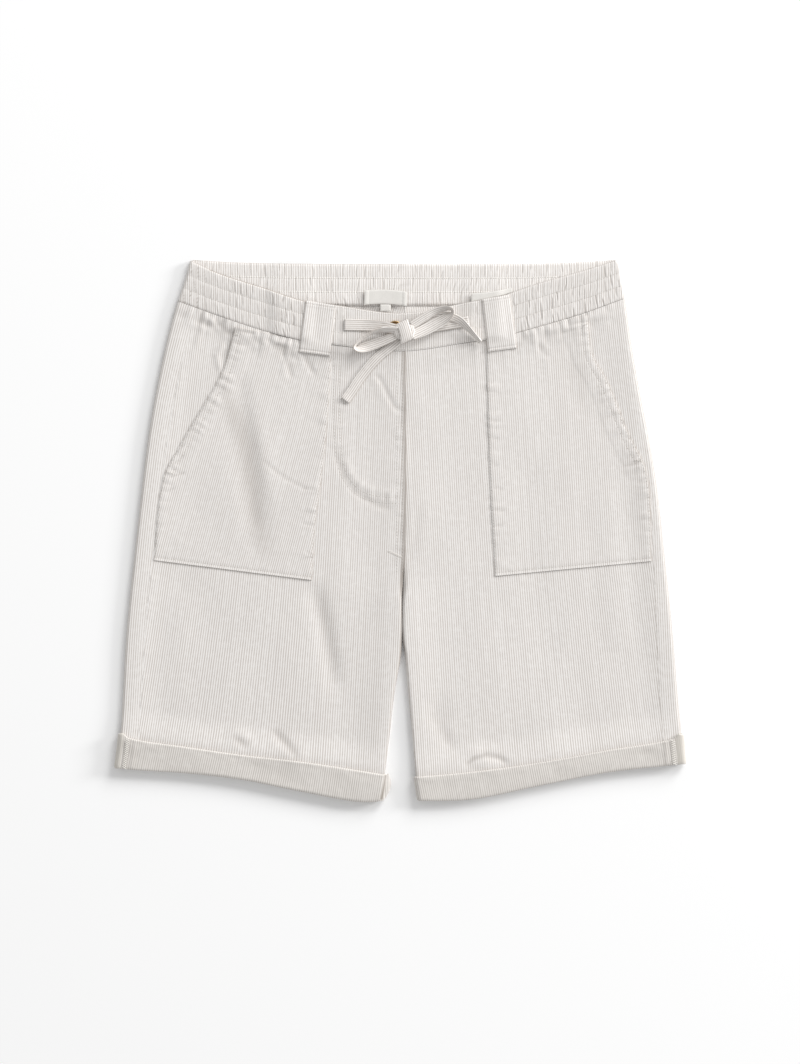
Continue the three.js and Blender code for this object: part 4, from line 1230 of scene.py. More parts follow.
    def pocket(self, side: Side) -> None:
        """Patch pocket, puckered under the waist seam, with its slanted opening."""
        shape = PocketShape(side)
        down = column(rim_spaced(self.count(145)))
        across = rim_spaced(self.count(100))[None, :]
        x, y = shape.point(down, across)
        edge_x, edge_y = shape.point(down, 0.0)
        from_opening = np.abs(x - edge_x)
        gape = shape.gape
        opened = 0.4 * gape.height * bell(edge_y - gape.y - 6, gape.length * 0.7) * bell(from_opening, gape.reach)
        rim = np.minimum(from_opening, np.abs(across - 1) * 145)
        foot = (1 - down) * 225 + 0 * across
        # Painted shade along the rims, strongest on the edge that faces the lights, along the top of the opening's
        # fold and just above the foot.
        lit = np.abs(across - 1) * 145 + 0 * down if side is Side.RIGHT else from_opening
        relief = Relief(x, y, body_relief(side, x, y))
        shared = relief.height
        fold_painted_shade = 0.55 * smoothstep(y, 140, 155) if side is Side.RIGHT else 0.0
        relief.add((opened + 0.2 * bell(foot, 1.1), 0.3 * bell(rim, 0.5) + 1.1 * bell(lit, 1.0) + fold_painted_shade * bell(from_opening, 0.9) + 0.25 * bell(foot - 3, 1.0)))
        hem = (1 - smoothstep(from_opening, 17, 20)) * (1 - smoothstep(down, 0.62, 0.7))
        relief.add((0.2 * hem, 0))
        seed = 21.0 if side is Side.RIGHT else 27.0
        relief.sewn(shape.outer(1.5), 0.3, 5.0, seed)
        relief.sewn(shape.outer(7.0, 0.02, shape.opening_end()), 0.7, 7.0, seed + 1)
        relief.sewn(shape.outer(3.0, shape.opening_end() - 0.04, 0.9), 0.8, 7.0, seed + 4, 9.0)
        relief.sewn(shape.inner(1.5), 0.7, 9.0, seed + 2, 11.0)
        relief.sewn(shape.foot(3.0), 0.16, 4.0, seed + 3)
        for crease in POCKET_CREASES[side]:
            relief.fold(crease)
        leg = LEG.top(side, x, y)
        base = np.stack([x, y, leg], -1)
        above = relief.height - shared
        above = np.where(above < 0, -0.5 * np.tanh(-above / 0.5), above)
        top = shared + np.maximum(above + lerp(0.3, POCKET_REST + CLOTH, smoothstep(rim, 0, 1.8)), 0.26)
        under = np.minimum(np.maximum(top - CLOTH, shared + 0.04), top - 0.2)
        tilts = (15.0, 13.0) if side is Side.RIGHT else (-4.5, -3.5)
        weave = grain(base, tilts, (-230.0, 240.0), 60.0)
        piece = ClothPiece(f"patch_pocket_{side.value}", base + up(top), base + up(under),
                           weave, [self.finishes.cloth, self.finishes.wrong], relief.painted_shade_depth).build()
        self.keep(piece, f"pocket_{side.value}")

    def side_band(self, side: Side) -> None:
        """Gathered front of the waistband, from the side seam to the belt loop."""
        loop_x = LOOP_MIDDLE[side]
        w = column(rim_spaced(self.count(44)))
        rows = band_rows(w)
        d = side.inward
        start, _ = settle(lambda y: seam_x(side, y) + d * SIDE_GAP / 2, rows.front, d * -180.0, len(w))
        x = lerp(start, loop_x, stations(0, 1, self.count(230))[None, :])
        y = rows.front(x)
        relief = Relief(x, y)
        relief.add(gathered(x, w, FRONT_GATHER, BAND_SEED[side]), 1 - 0.6 * bell(x - loop_x, 15))
        rims = band_rims(w, x)
        # Painted shade in the gathers' creases, along the rows of stitching and both long edges.
        relief.add((rims[0], rims[1] + rims[2]))
        ruffle = 0.5 * (relief.height - 0.4) * smoothstep(w, 0.8, 1)
        z = BAND.top(side, x, y)
        outer = np.stack([x, y + ruffle, z + relief.height], -1)
        inner = np.stack([x, y, z - BAND_WALL], -1)
        weave = np.stack([x + 0.35 * relief.height, y], -1)
        piece = ClothPiece(f"waistband_gathered_{side.value}", outer, inner, weave,
                           [self.finishes.cloth, self.finishes.inside], relief.painted_shade_depth).build()
        self.keep(piece, f"waistband_side_{side.value}")

    def flat_band(self, side: Side) -> None:
        """Flat front of the waistband, gathered only as far as the slit that the drawstring leaves by."""
        d = side.inward
        w = column(rim_spaced(self.count(34)))
        start, end = LOOP_MIDDLE[side] + d * SIDE_GAP, CENTRE_FRONT_X - d * SIDE_GAP / 2
        x = lerp(start, end, stations(0, 1, self.count(90))[None, :]) + 0 * w
        y = band_rows(w).front(x)
        slit = SLITS[side]
        to_slit = smoothstep((slit - x) * d, 0, 4)
        relief = Relief(x, y)
        relief.add(gathered(x, w, 8.0, 41.0), 0.6 * to_slit)
        rims = band_rims(w, x)
        # Painted shade along the rows of stitching and both long edges.
        relief.add((rims[0], 0.5 * rims[1] * to_slit + rims[2]))
        relief.add((0.35 * rumple(x, y, 43.0), 0))
        gap = np.abs(x - slit)
        # A dip with painted shade at the slit.
        relief.add((-0.12 * bell(gap, 0.8), 0.25 * bell(gap, 0.6)))
        z = BAND.top(side, x, y)
        outer = np.stack([x, y, z + relief.height], -1)
        inner = np.stack([x, y, z - BAND_WALL], -1)
        piece = ClothPiece(f"waistband_flat_{side.value}", outer, inner, np.stack([x, y], -1),
                           [self.finishes.cloth, self.finishes.inside], relief.painted_shade_depth).build()
        self.keep(piece, f"waistband_front_{side.value}")

    def back_band(self) -> None:
        """Gathered back of the waistband, round both folds to the side seams; its inside shows."""
        w = column(rim_spaced(self.count(38)))
        rows, count = band_rows(w), len(w)
        halves = []
        for side in Side:
            d = side.inward
            zones = [(Zone.WRAP, stations(1, 0, 14)), (Zone.FOLD, stations(1, -1, self.count(22))[1:]),
                     (Zone.BACK, stations(0, 1, self.count(330))[1:])]
            grids: list[list[Array]] = [[], [], [], []]
            for zone, at in zones:
                base = tube_strip(BAND, side, zone, at, rows, count, 0)
                x, y = base[..., 0], base[..., 1]
                along = x
                if zone is Zone.FOLD:
                    tangent = x[:, :1]
                    along = tangent - d * BAND_RADIUS * (1 - at)[None, :] * math.pi / 2
                    along = along + (fold_x(side, y) + d * BAND_RADIUS - tangent)
                outside = gathered(along, w, FRONT_GATHER, BAND_SEED[side])
                inside = gathered(x, w, BACK_GATHER, 51.0)
                rim, rim_painted_shade, top_edge_painted_shade = band_rims(w, along)
                shown = {Zone.WRAP: 1.0, Zone.FOLD: smoothstep(at, -0.1, 0.6)[None, :], Zone.BACK: 0.0}[zone]
                from_fold = np.abs(x - fold_x(side, y))
                facing = smoothstep(from_fold, 8, 16) if zone is Zone.BACK else 0.0
                thin = 1.0 * bell(w * 40, 1.6) * facing
                outer_rise = (outside[0] + rim) * shown - (0.06 * bell(x - seam_x(side, y), 3.0) if zone is Zone.WRAP else 0)
                over_loop = 0.6 * back_loop_lift(x, y) * facing
                inner_rise = (0.75 * inside[0] + rim) * facing - thin - over_loop
                grids[0].append(tube_strip(BAND, side, zone, at, rows, count, outer_rise))
                grids[1].append(tube_strip(BAND, side, zone, at, rows, count, -BAND_WALL - inner_rise))
                grids[2].append(along + 0 * x)
                # Painted shade: the gathers' creases, the rows of stitching and the band's top edge.
                grids[3].append((outside[1] + rim_painted_shade) * shown + 0.85 * inside[1] * facing + 0.6 * top_edge_painted_shade)
            halves.append([np.concatenate(grid, 1) for grid in grids])
        outer, inner, along, painted_shade_depth = (np.concatenate([right, left[:, -2::-1]], 1) for right, left in zip(*halves))
        weave = np.stack([along, outer[..., 1]], -1)
        piece = ClothPiece("waistband_gathered_back", outer, inner, weave,
                           [self.finishes.cloth, self.finishes.inside], painted_shade_depth).build()
        self.keep(piece, "waistband_back")

    def cuff(self, side: Side) -> None:
        """Turned-up cuff: a ring of doubled cloth, wrong side out, folded under at its foot."""
        outside = SEAM_GAP + CUFF_WALL
        face = np.linspace(0, 1, self.count(24))
        section = [(SEAM_GAP, 0.0, 0.0), (outside - 1.1, 0.0, 0.0), (outside - 0.35, 0.0, -0.3)]
        section += [(outside, float(t), lerp(-1.0, 2.2, t)) for t in face]
        section += [(outside - 0.3, 1.0, 0.9), (outside - 0.9, 1.0, 0.15), (outside - 1.7, 1.0, 0.0),
                    (0.4 - SOLID_CLOTH, 1.0, 0.0), (-SOLID_CLOTH, 1.0, 0.4),
                    (-SOLID_CLOTH, 1.0, CUFF_FOOT), (SEAM_GAP, 1.0, CUFF_FOOT)]
        out, share, rise = (column(s[i] for s in section) for i in range(3))
        on_face = column([1.0 if 3 <= i < 3 + len(face) else 0.0 for i in range(len(section))])

        corner_x = float(fold_x(side, -193.0)) + side.inward * 3.0

        def line(x: Array) -> Array:
            corner = 3.0 * bell(x - corner_x, 2.6) * (1 - share)
            return lerp(HEM[side].read("top", x), HEM[side].read("foot", x), share) + rise + corner

        rows, parts, painted_shades = Rows(line, line), [], []
        zones = [(Zone.FOLD, stations(-1, 1, self.count(20))), (Zone.WHOLE, stations(0, 1, self.count(190))[1:]),
                 (Zone.INNER, stations(1, 0, 10)[1:]), (Zone.INNER, stations(0, -1, 10)[1:]),
                 (Zone.BACK, stations(1, 0, 40)[1:-1])]
        for zone, at in zones:
            base = tube_strip(LEG, side, zone, at, rows, len(section), out)
            turned = {Zone.FOLD: smoothstep(at, -0.2, 1)[None, :], Zone.WHOLE: 1.0, Zone.BACK: 0.0}
            shown = turned.get(zone, np.clip(at, 0, 1)[None, :])
            relief = self.cuff_relief(side, base[..., 0], base[..., 1], share)
            parts.append(tube_strip(LEG, side, zone, at, rows, len(section),
                                    out + relief.height * shown * on_face))
            painted_shades.append(relief.painted_shade_depth * shown * on_face)
        ring = np.concatenate(parts, 1).transpose(1, 0, 2)
        painted_shade = np.concatenate(painted_shades, 1).T.ravel()
        points, faces = swept(ring, True)
        depth = np.cumsum(np.concatenate([[0], np.linalg.norm(np.diff(ring[len(ring) // 3], axis=0), axis=1)]))
        run = np.concatenate([[0], np.cumsum(np.linalg.norm(np.diff(ring[:, 5], axis=0), axis=1))])
        weave = np.stack(np.broadcast_arrays(run[:, None] + 0.06 * depth[None, :], depth[None, :]), -1)
        middle = points[faces].mean(1)
        from_fold = np.abs(middle[:, 0] - fold_x(side, middle[:, 1]))
        edges = CUFF_STRIPS[side]
        on_top = middle[:, 2] > 5.5
        kinds = np.where(on_top & (from_fold < edges[0]), 1, 0)
        order = [self.finishes.wrong, self.finishes.strip]
        if side is Side.RIGHT:
            tab, tab_faces = seam_tab()
            faces = np.concatenate([faces, tab_faces + len(points)])
            points = np.concatenate([points, tab])
            kinds = np.concatenate([kinds, np.zeros(len(tab_faces), int)])
            weave = np.concatenate([weave.reshape(-1, 2), tab[:, :2]])
            painted_shade = np.concatenate([painted_shade, np.zeros(len(tab))])
        piece = make_mesh(f"turned_up_cuff_{side.value}", points, faces, weave.reshape(-1, 2), order, kinds, painted_shade)
        self.keep(piece, f"cuff_{side.value}")

    def cuff_relief(self, side: Side, x: Array, y: Array, share: Array) -> Relief:
        """Relief of the cuff's outside face."""
        seed = 61.0 if side is Side.RIGHT else 67.0
        from_fold = np.abs(x - fold_x(side, y))
        edges = CUFF_STRIPS[side]
        relief = Relief(x, y)
        swell = np.sin(np.pi * share)
        broad = noise(x, y * 0.3, 46, seed + 1)
        close = noise(x, y * 0.4, 13, seed + 2)
        relief.add((0.8 * rumple(x * 0.7, y * 1.6, seed) + 0.4 * swell * broad, 0))
        # The second value of each pair below is painted shade: in the dips, towards the foot and just below the top
        # edge, beside the seam, and in the slit at the inner end; it also darkens the seam-allowance strips.
        dips = np.maximum(-noise(x * 0.9 + y * 0.5, y * 0.9, 21, seed + 5), 0)
        relief.add((0.3 * bell(share - 0.14, 0.12) * close - 0.5 * dips * swell, 0.3 * dips * swell))
        relief.add((0, 0.18 * smoothstep(share, 0.72, 1) + 0.1 * bell(share - 0.05, 0.05)))
        seam = from_fold - edges[1] - 4.2
        relief.add((0.4 * bell(seam, 1.3), 0.35 * bell(seam - 1.6, 0.8) + 0.25 * bell(seam + 1.8, 0.8)))
        between = smoothstep(from_fold, edges[0] - 0.4, edges[0]) * (1 - smoothstep(from_fold, edges[1], edges[1] + 0.4))
        relief.add((-0.25 * bell(from_fold - edges[0], 0.8), 0.5 * between + 0.25 * (1 - smoothstep(from_fold, 0, edges[0]))))
        if side is Side.LEFT:
            relief.add((0, 0.45 * (1 - smoothstep(from_fold, edges[0] - 0.4, edges[0]))))
        if side is Side.RIGHT:
            end = np.abs(x - lerp(-13.2, -17.4, share))
            relief.add((-0.9 * bell(end, 1.5), 4.0 * bell(end, 1.5)))
        return relief

    def front_loop(self, side: Side) -> None:
        """Front belt loop: a strip over the band, its lower end folded under and sewn."""
        outer_top, inner_top, inner_foot, outer_foot = (np.array(p) for p in FRONT_LOOPS[side])
        v = column(rim_spaced(self.count(56)))[..., None]
        u = rim_spaced(self.count(30))[None, :, None]
        plan = lerp(lerp(outer_top, inner_top, u), lerp(outer_foot, inner_foot, u), v)
        x, y = plan[..., 0], plan[..., 1]
        u, v = u[..., 0], v[..., 0]
        on_band = BAND.top(side, x, y) + 0.75
        on_front = LEG.top(side, x, y) + POCKET_REST + CLOTH + 0.55
        z = lerp(on_band, on_front, smoothstep(v, 0.7, 0.86))
        relief = Relief(x, y)
        relief.add((0.25 * np.sin(np.pi * u) + 0.35 * rumple(x * 1.4, y * 1.2, 71.0), 0))
        relief.add((0.35 * smoothstep(v, 0.95, 0.965) + 0.15 * (1 - smoothstep(v, 0.09, 0.12)), 0))
        # Painted shade along the rows of stitching, the rims and the loop's inner long edge.
        row = bell((v - 0.945) * 49, 0.8)
        relief.add((-0.3 * row - 0.2 * bell((v - 0.05) * 49, 0.8), 0.5 * row + 0.3 * bell((v - 0.05) * 49, 0.6)))
        rim = np.minimum(np.minimum(u, 1 - u) * 28, np.minimum(v, 1 - v) * 49)
        relief.add((-0.5 * bell(rim, 0.9), 0.7 * bell((1 - u) * 28, 0.6)))
        base = np.stack([x, y, z + CLOTH], -1)
        weave = np.stack([(u + 0 * v) * 28.5, (v + 0 * u) * -49.0], -1)
        piece = ClothPiece(f"belt_loop_{side.value}", base + up(relief.height),
                           base + up(relief.height - CLOTH - 0.2), weave, [self.finishes.cloth], relief.painted_shade_depth).build()
        self.keep(piece, f"belt_loop_front_{side.value}")

    def back_loop(self, side: Side) -> None:
        """Back belt loop: lies on the floor, under the back waistband."""
        middle = BACK_LOOP_X[0 if side is Side.RIGHT else 1]
        v = column(rim_spaced(24))
        u = rim_spaced(12)[None, :]
        x = middle + (u - 0.5) * BACK_LOOP_WIDTH + 0 * v
        y = lerp(250.0, BACK_LOOP_BOTTOM_Y, v) + 0 * u
        rim = np.minimum(np.minimum(u, 1 - u) * BACK_LOOP_WIDTH, np.minimum(v, 1 - v) * 47)
        top = np.stack([x, y, 1.3 - 0.3 * bell(rim, 1.0)], -1)
        under = np.stack([x, y, 0.3 * bell(rim, 1.0)], -1)
        piece = ClothPiece(f"belt_loop_under_band_{side.value}", top, under, np.stack([x, y], -1),
                           [self.finishes.cloth]).build()
        self.keep(piece, f"belt_loop_back_{side.value}")


def seam_tab() -> tuple[Array, Array]:
    """The end of the inseam's allowance, which sticks out from the cuff's inner end.

    Returns:
        Its points and faces: a thin crescent.
    """
    along, across = column(np.linspace(0.02, 0.98, 13)), np.linspace(0, 1, 6)[None, :]
    x = lerp(-13.4, -17.2, along) + across * (1.4 + 4.6 * np.sin(np.pi * along) ** 0.8)
    y = lerp(-228.5, -254.0, along) + 1.2 * across
    top = 5.2 + 1.6 * np.sin(np.pi * along) * (1 - across ** 2)
    upper = np.stack([x, y, top], -1)
    lower = np.stack([x, y, top - 0.9], -1)
    ring = np.concatenate([upper, lower[:, ::-1]], 1)
    return swept(ring, False)


def band_rims(w: Array, x: Array) -> tuple[Array, Array, Array]:
    """How the waistband's long edges round off, painted shade along its rows of stitching and its bottom edge, and
    painted shade along its top edge.
    """
    dots = 0.35 + 0.65 * (np.sin(x * 2.7) > 0)
    height = -0.6 * bell((1 - w) * 40, 0.9) - 0.3 * bell(w * 40, 0.9)
    painted_shade_depth = 0.6 * dots * (bell((w - 1 / 3) * 40, 0.6) + bell((w - 2 / 3) * 40, 0.6)) + 0.12 * bell(w * 40, 0.8)
    return height, painted_shade_depth, np.where(x < 0, 2.3, 0.9) * bell((1 - w) * 40, 0.6)


def up(height: Array) -> Array:
    """A height as a displacement."""
    return np.stack([np.zeros_like(height), np.zeros_like(height), height], -1)


def rim_spaced(count: int) -> Array:
    """Places from 0 to 1, closer together near both ends."""
    t = np.linspace(0, 1, count + 1)
    return lerp(t, smoothstep(t, 0, 1), 0.45)


LOOP_MIDDLE = {Side.RIGHT: -78.2, Side.LEFT: 93.1}
SLITS = {Side.RIGHT: -51.0, Side.LEFT: 64.0}
CUFF_STRIPS = {Side.RIGHT: (4.2, 10.6), Side.LEFT: (6.6, 11.8)}
FRONT_GATHER, BACK_GATHER = 6.2, 6.4
BAND_SEED = {Side.RIGHT: 31.0, Side.LEFT: 37.0}
FRONT_LOOPS = {
    Side.RIGHT: [(-88.8, 216.6), (-60.6, 212.0), (-66.3, 164.5), (-95.4, 168.3)],
    Side.LEFT: [(102.9, 222.0), (76.6, 217.4), (82.3, 168.3), (109.5, 172.0)],
}

# The curved stitching of the fly, the stitching down centre front, and creases beside them
FLY_CURVE = Seam.through((-57.0, 168.0), (-57.5, 110.0), (-55.0, 62.0), (-44.0, 42.0), (-30.0, 34.0), (-14.0, 31.8),
                         (2.4, 31.0))
CENTRE_ROW = Seam.through((-0.5, 166.0), (-0.5, 60.0), (-0.5, -38.0))
FRONT_CREASES = {
    Side.RIGHT: [
        Crease(Seam.through((-24.6, 149.3), (-14.3, 136.2), (-9.6, 119.3), (2.6, 110.8)), -0.6, 2.4, 0.35),
        Crease(Seam.through((-61.6, 78.0), (-56.5, 57.3), (-41.5, 34.8), (-27.0, 26.3), (-13.6, 21.5), (-4.0, 21.0)), -0.45, 3.6, 0.4),
        Crease(Seam.through((-52.5, 70.0), (-50.0, 58.0), (-38.0, 43.0), (-22.0, 37.0), (0.0, 36.0)), 0.3, 3.2, 0.0),
        Crease(Seam.through((-83.0, -46.0), (-75.0, -70.0), (-66.0, -110.0), (-61.0, -150.0)), -0.9, 8.0, 0.42),
        Crease(Seam.through((-160.3, -190.8), (-151.0, -197.5), (-140.0, -206.0)), -0.9, 4.0, 0.7),
        Crease(Seam.through((-124.0, -184.0), (-106.7, -200.0), (-92.5, -217.0)), -0.9, 4.4, 0.8),
        Crease(Seam.through((-164.0, 178.6), (-175.0, 170.0), (-169.0, 148.5)), 0.7, 2.6, 0.0),
        Crease(Seam.through((-183.0, 212.0), (-178.0, 200.0), (-168.0, 190.0)), -0.45, 2.4, 0.3),
    ],
    Side.LEFT: [
        Crease(Seam.through((26.8, -152.3), (31.5, -173.0), (41.8, -194.6), (57.8, -212.4)), -0.7, 7.0, 0.38),
        Crease(Seam.through((58.8, -222.0), (67.2, -214.5), (78.5, -210.0), (90.7, -212.0), (102.9, -219.0)),
               -0.9, 2.8, 0.9),
        Crease(Seam.through((20.0, 30.0), (14.0, 0.0), (8.0, -40.0)), -0.4, 6.0, 0.15),
    ],
}


def wrinkles(*ends: tuple[float, float, float, float], tall: float = -0.4, width: float = 1.2,
             shade: float = 0.45) -> list[Crease]:
    """Short creases, each from one place to another."""
    return [Crease(Seam.through((x, y), ((x + x2) / 2, (y + y2) / 2 + 0.8), (x2, y2), step=2.0), tall, width, shade)
            for x, y, x2, y2 in ends]


POCKET_CREASES = {
    Side.RIGHT: [
        Crease(Seam.through((-174.0, 150.0), (-160.0, 120.0), (-148.0, 90.0), (-141.0, 50.0), (-136.0, 8.0), (-122.0, -44.0)),
               -1.2, 12.0, 0.85),
        Crease(Seam.through((-138.0, 120.0), (-128.0, 60.0), (-120.0, 10.0)), 0.5, 10.0, 0.0),
        Crease(Seam.through((-130.0, 67.7), (-113.0, 51.7), (-87.0, 38.5)), -0.3, 1.6, 0.28),
        Crease(Seam.through((-156.0, 189.0), (-148.0, 184.0), (-136.0, 185.0)), -0.6, 1.8, 0.6),
        Crease(Seam.through((-110.0, 170.0), (-106.0, 156.0), (-101.0, 142.0)), -0.7, 2.6, 0.42),
        Crease(Seam.through((-93.0, 168.0), (-92.0, 156.0), (-80.0, 146.0)), -0.7, 2.6, 0.5),
        *wrinkles((-217.0, 60.0, -203.0, 72.0), (-218.0, 50.0, -202.0, 55.0), (-213.0, 72.0, -203.0, 82.0),
                  (-222.0, 36.0, -212.0, 41.0), (-119.0, 176.0, -106.0, 172.5)),
        *wrinkles((-93.0, 40.0, -79.0, 39.0), (-93.0, 7.0, -80.5, 5.6), (-90.0, -20.0, -82.0, -22.0),
                  (-76.0, 88.0, -71.0, 87.0), shade=0.3),
    ],
    Side.LEFT: [
        Crease(Seam.through((152.0, 186.0), (160.0, 150.0), (178.0, 96.0)), -0.45, 9.0, 0.25),
        Crease(Seam.through((128.0, 178.0), (136.0, 172.0), (140.0, 162.0)), -0.7, 2.6, 0.45),
        *wrinkles((205.4, 103.4, 214.0, 97.8), (209.2, 89.3, 217.6, 86.5), (214.0, 78.0, 225.0, 80.0),
                  (208.0, 60.0, 231.0, 66.0), (222.0, 45.0, 233.0, 52.0), (150.0, 186.0, 166.0, 190.0)),
        *wrinkles((85.5, 102.5, 95.0, 103.5), (85.5, 86.5, 93.5, 87.0), (86.0, 61.1, 93.0, 61.5),
                  (86.5, 40.4, 97.0, 39.5), (87.5, 19.7, 98.5, 19.0), (88.5, 4.7, 97.0, 4.7), shade=0.35),
    ],
}


# Drawstring, button and labels


@dataclass(frozen=True)
class TapeRun:
    """A stretch of the drawstring: rows of x, y, clearance below, width and lean in degrees."""

    name: str
    rows: list[tuple[float, float, float, float, float]]
    hemmed: bool = False

    def spine(self, steps_each: int) -> tuple[Array, Array, Array, Array]:
        """Middle points, directions across and through the tape, and half widths."""
        table = Table("i x y lift width lean", [(i, *row) for i, row in enumerate(self.rows)])
        last = len(self.rows) - 1
        at = np.linspace(0, last, last * steps_each + 1)
        ahead, behind = np.minimum(at + 0.05, last), np.maximum(at - 0.05, 0)
        dx = table.read("x", ahead) - table.read("x", behind)
        dy = table.read("y", ahead) - table.read("y", behind)
        length = np.hypot(dx, dy)
        lean = np.radians(table.read("lean", at))
        flip = -1.0 if sum(row[4] for row in self.rows) < 0 else 1.0
        across = np.stack([-dy / length * np.cos(lean) * flip, dx / length * np.cos(lean) * flip,
                           np.sin(np.abs(lean))], -1)
        along = np.stack([dx / length, dy / length, np.zeros_like(dx)], -1)
        through = np.cross(across, along)
        half = table.read("width", at) / 2
        rest = half * np.sin(np.abs(lean)) + TAPE / 2 * np.cos(lean)
        x, y = table.read("x", at), table.read("y", at)
        middle = np.stack([x, y, plan_height(x, y) + table.read("lift", at) + rest], -1)
        return middle, across, through, half

    def length(self) -> float:
        """Length of the run, in millimetres."""
        middle = self.spine(8)[0]
        return float(np.linalg.norm(np.diff(middle, axis=0), axis=1).sum())

    def build(self, finish: bpy.types.Material) -> bpy.types.Object:
        """Make the tape: five ribs along each face."""
        middle, across, through, half = self.spine(10)
        corners = 28
        angle = np.linspace(0, 2 * np.pi, corners, endpoint=False) + np.pi / corners
        wide = np.sign(np.cos(angle)) * np.abs(np.cos(angle)) ** 0.45
        thick = np.sign(np.sin(angle)) * np.abs(np.sin(angle)) ** 0.6
        ribs = 1 + 0.2 * np.cos(wide * math.pi * 4.5)
        swell = np.ones(len(middle))
        if self.hemmed:
            from_end = np.arange(len(middle))[::-1] / 10
            swell = swell + 0.75 * (1 - smoothstep(from_end, 0.45, 0.6)) - 0.45 * bell(from_end - 0.42, 0.1)
        sections = (middle[:, None] + across[:, None] * (half[:, None] * wide)[..., None]
                    + through[:, None] * (TAPE / 2 * thick * ribs * swell[:, None])[..., None])
        points, faces = swept(sections, False)
        run = np.concatenate([[0], np.cumsum(np.linalg.norm(np.diff(middle, axis=0), axis=1))])
        weave = np.stack(np.broadcast_arrays((half[:, None] * wide), run[:, None]), -1).reshape(-1, 2)
        # Painted shade in the grooves between the ribs.
        shade = 0.5 * ((1 - np.cos(wide * math.pi * 4.5)) / 2) ** 3
        painted_shade = np.broadcast_to(shade, sections.shape[:2]).ravel()
        return make_mesh(self.name, points, faces, weave, [finish], painted_shade=painted_shade)


TAPE_RUNS = {
    "drawstring_string_right": TapeRun("string_right", [
        (-53.0, 193.9, 0.6, 10.5, 0), (-36.0, 193.5, 0.8, 10.5, 0), (-22.0, 193.0, 2.0, 9.5, 6),
        (-13.0, 192.0, 3.6, 8.5, 6), (-7.0, 190.6, 4.6, 8.0, 4), (-1.5, 189.6, 4.8, 7.0, 0)]),
    "drawstring_string_left": TapeRun("string_left", [
        (64.4, 196.7, 0.6, 9.5, 0), (48.0, 194.4, 0.6, 9.5, 0), (30.0, 191.0, 0.8, 8.5, 0), (12.0, 188.0, 3.4, 6.0, 0)]),
    "drawstring_bow_right": TapeRun("bow_right", [
        (-2.0, 184.6, 5.0, 7.0, 14), (-15.0, 178.8, 3.0, 9.0, 12), (-25.0, 175.2, 1.5, 10.0, 14),
        (-34.0, 172.4, 0.6, 10.2, 24), (-40.2, 171.2, 0.5, 9.5, 50), (-42.8, 172.6, 0.5, 9.0, 74),
        (-41.0, 176.2, 0.6, 9.5, 80), (-34.0, 182.0, 1.2, 9.5, 78), (-24.0, 187.0, 2.6, 9.0, 74),
        (-15.0, 188.6, 5.2, 7.5, 52), (-2.4, 188.4, 6.2, 6.5, 30)]),
    "drawstring_bow_left": TapeRun("bow_left", [
        (10.5, 183.0, 4.8, 9.0, -8), (24.0, 189.6, 3.4, 11.0, -8), (33.0, 194.4, 3.0, 11.5, -12),
        (41.0, 198.8, 2.8, 10.5, -24), (46.6, 202.6, 2.8, 9.0, -52), (49.0, 205.8, 2.8, 8.5, -76),
        (47.4, 208.2, 2.9, 8.0, -74), (42.0, 208.8, 3.2, 8.0, -56), (32.0, 205.8, 3.8, 8.0, -38),
        (22.0, 200.0, 4.4, 8.5, -30), (10.0, 192.4, 5.0, 8.0, -24)]),
    "drawstring_tail_right": TapeRun("tail_right", [
        (-0.6, 180.0, 3.0, 7.5, 0), (-11.0, 171.6, 0.9, 8.5, 0), (-19.3, 165.0, 0.4, 9.0, 0),
        (-26.6, 157.6, 0.4, 9.5, 0), (-33.4, 149.4, 0.4, 9.5, 0), (-40.0, 140.4, 0.4, 9.5, 0),
        (-46.0, 131.0, 0.5, 9.5, 0), (-52.2, 122.6, 0.6, 9.0, 0)], hemmed=True),
    "drawstring_tail_left": TapeRun("tail_left", [
        (11.0, 192.4, 2.4, 8.0, 0), (26.0, 200.6, 1.5, 8.0, 0), (36.0, 203.0, 1.5, 8.0, 0),
        (46.0, 201.6, 1.5, 8.0, 0), (55.5, 197.6, 1.9, 7.5, 20), (62.5, 191.0, 1.5, 7.0, 40),
        (69.2, 183.8, 0.4, 6.5, 55), (75.2, 177.2, 0.5, 6.0, 60)], hemmed=True),
}
TAILS = ("drawstring_tail_right", "drawstring_tail_left")


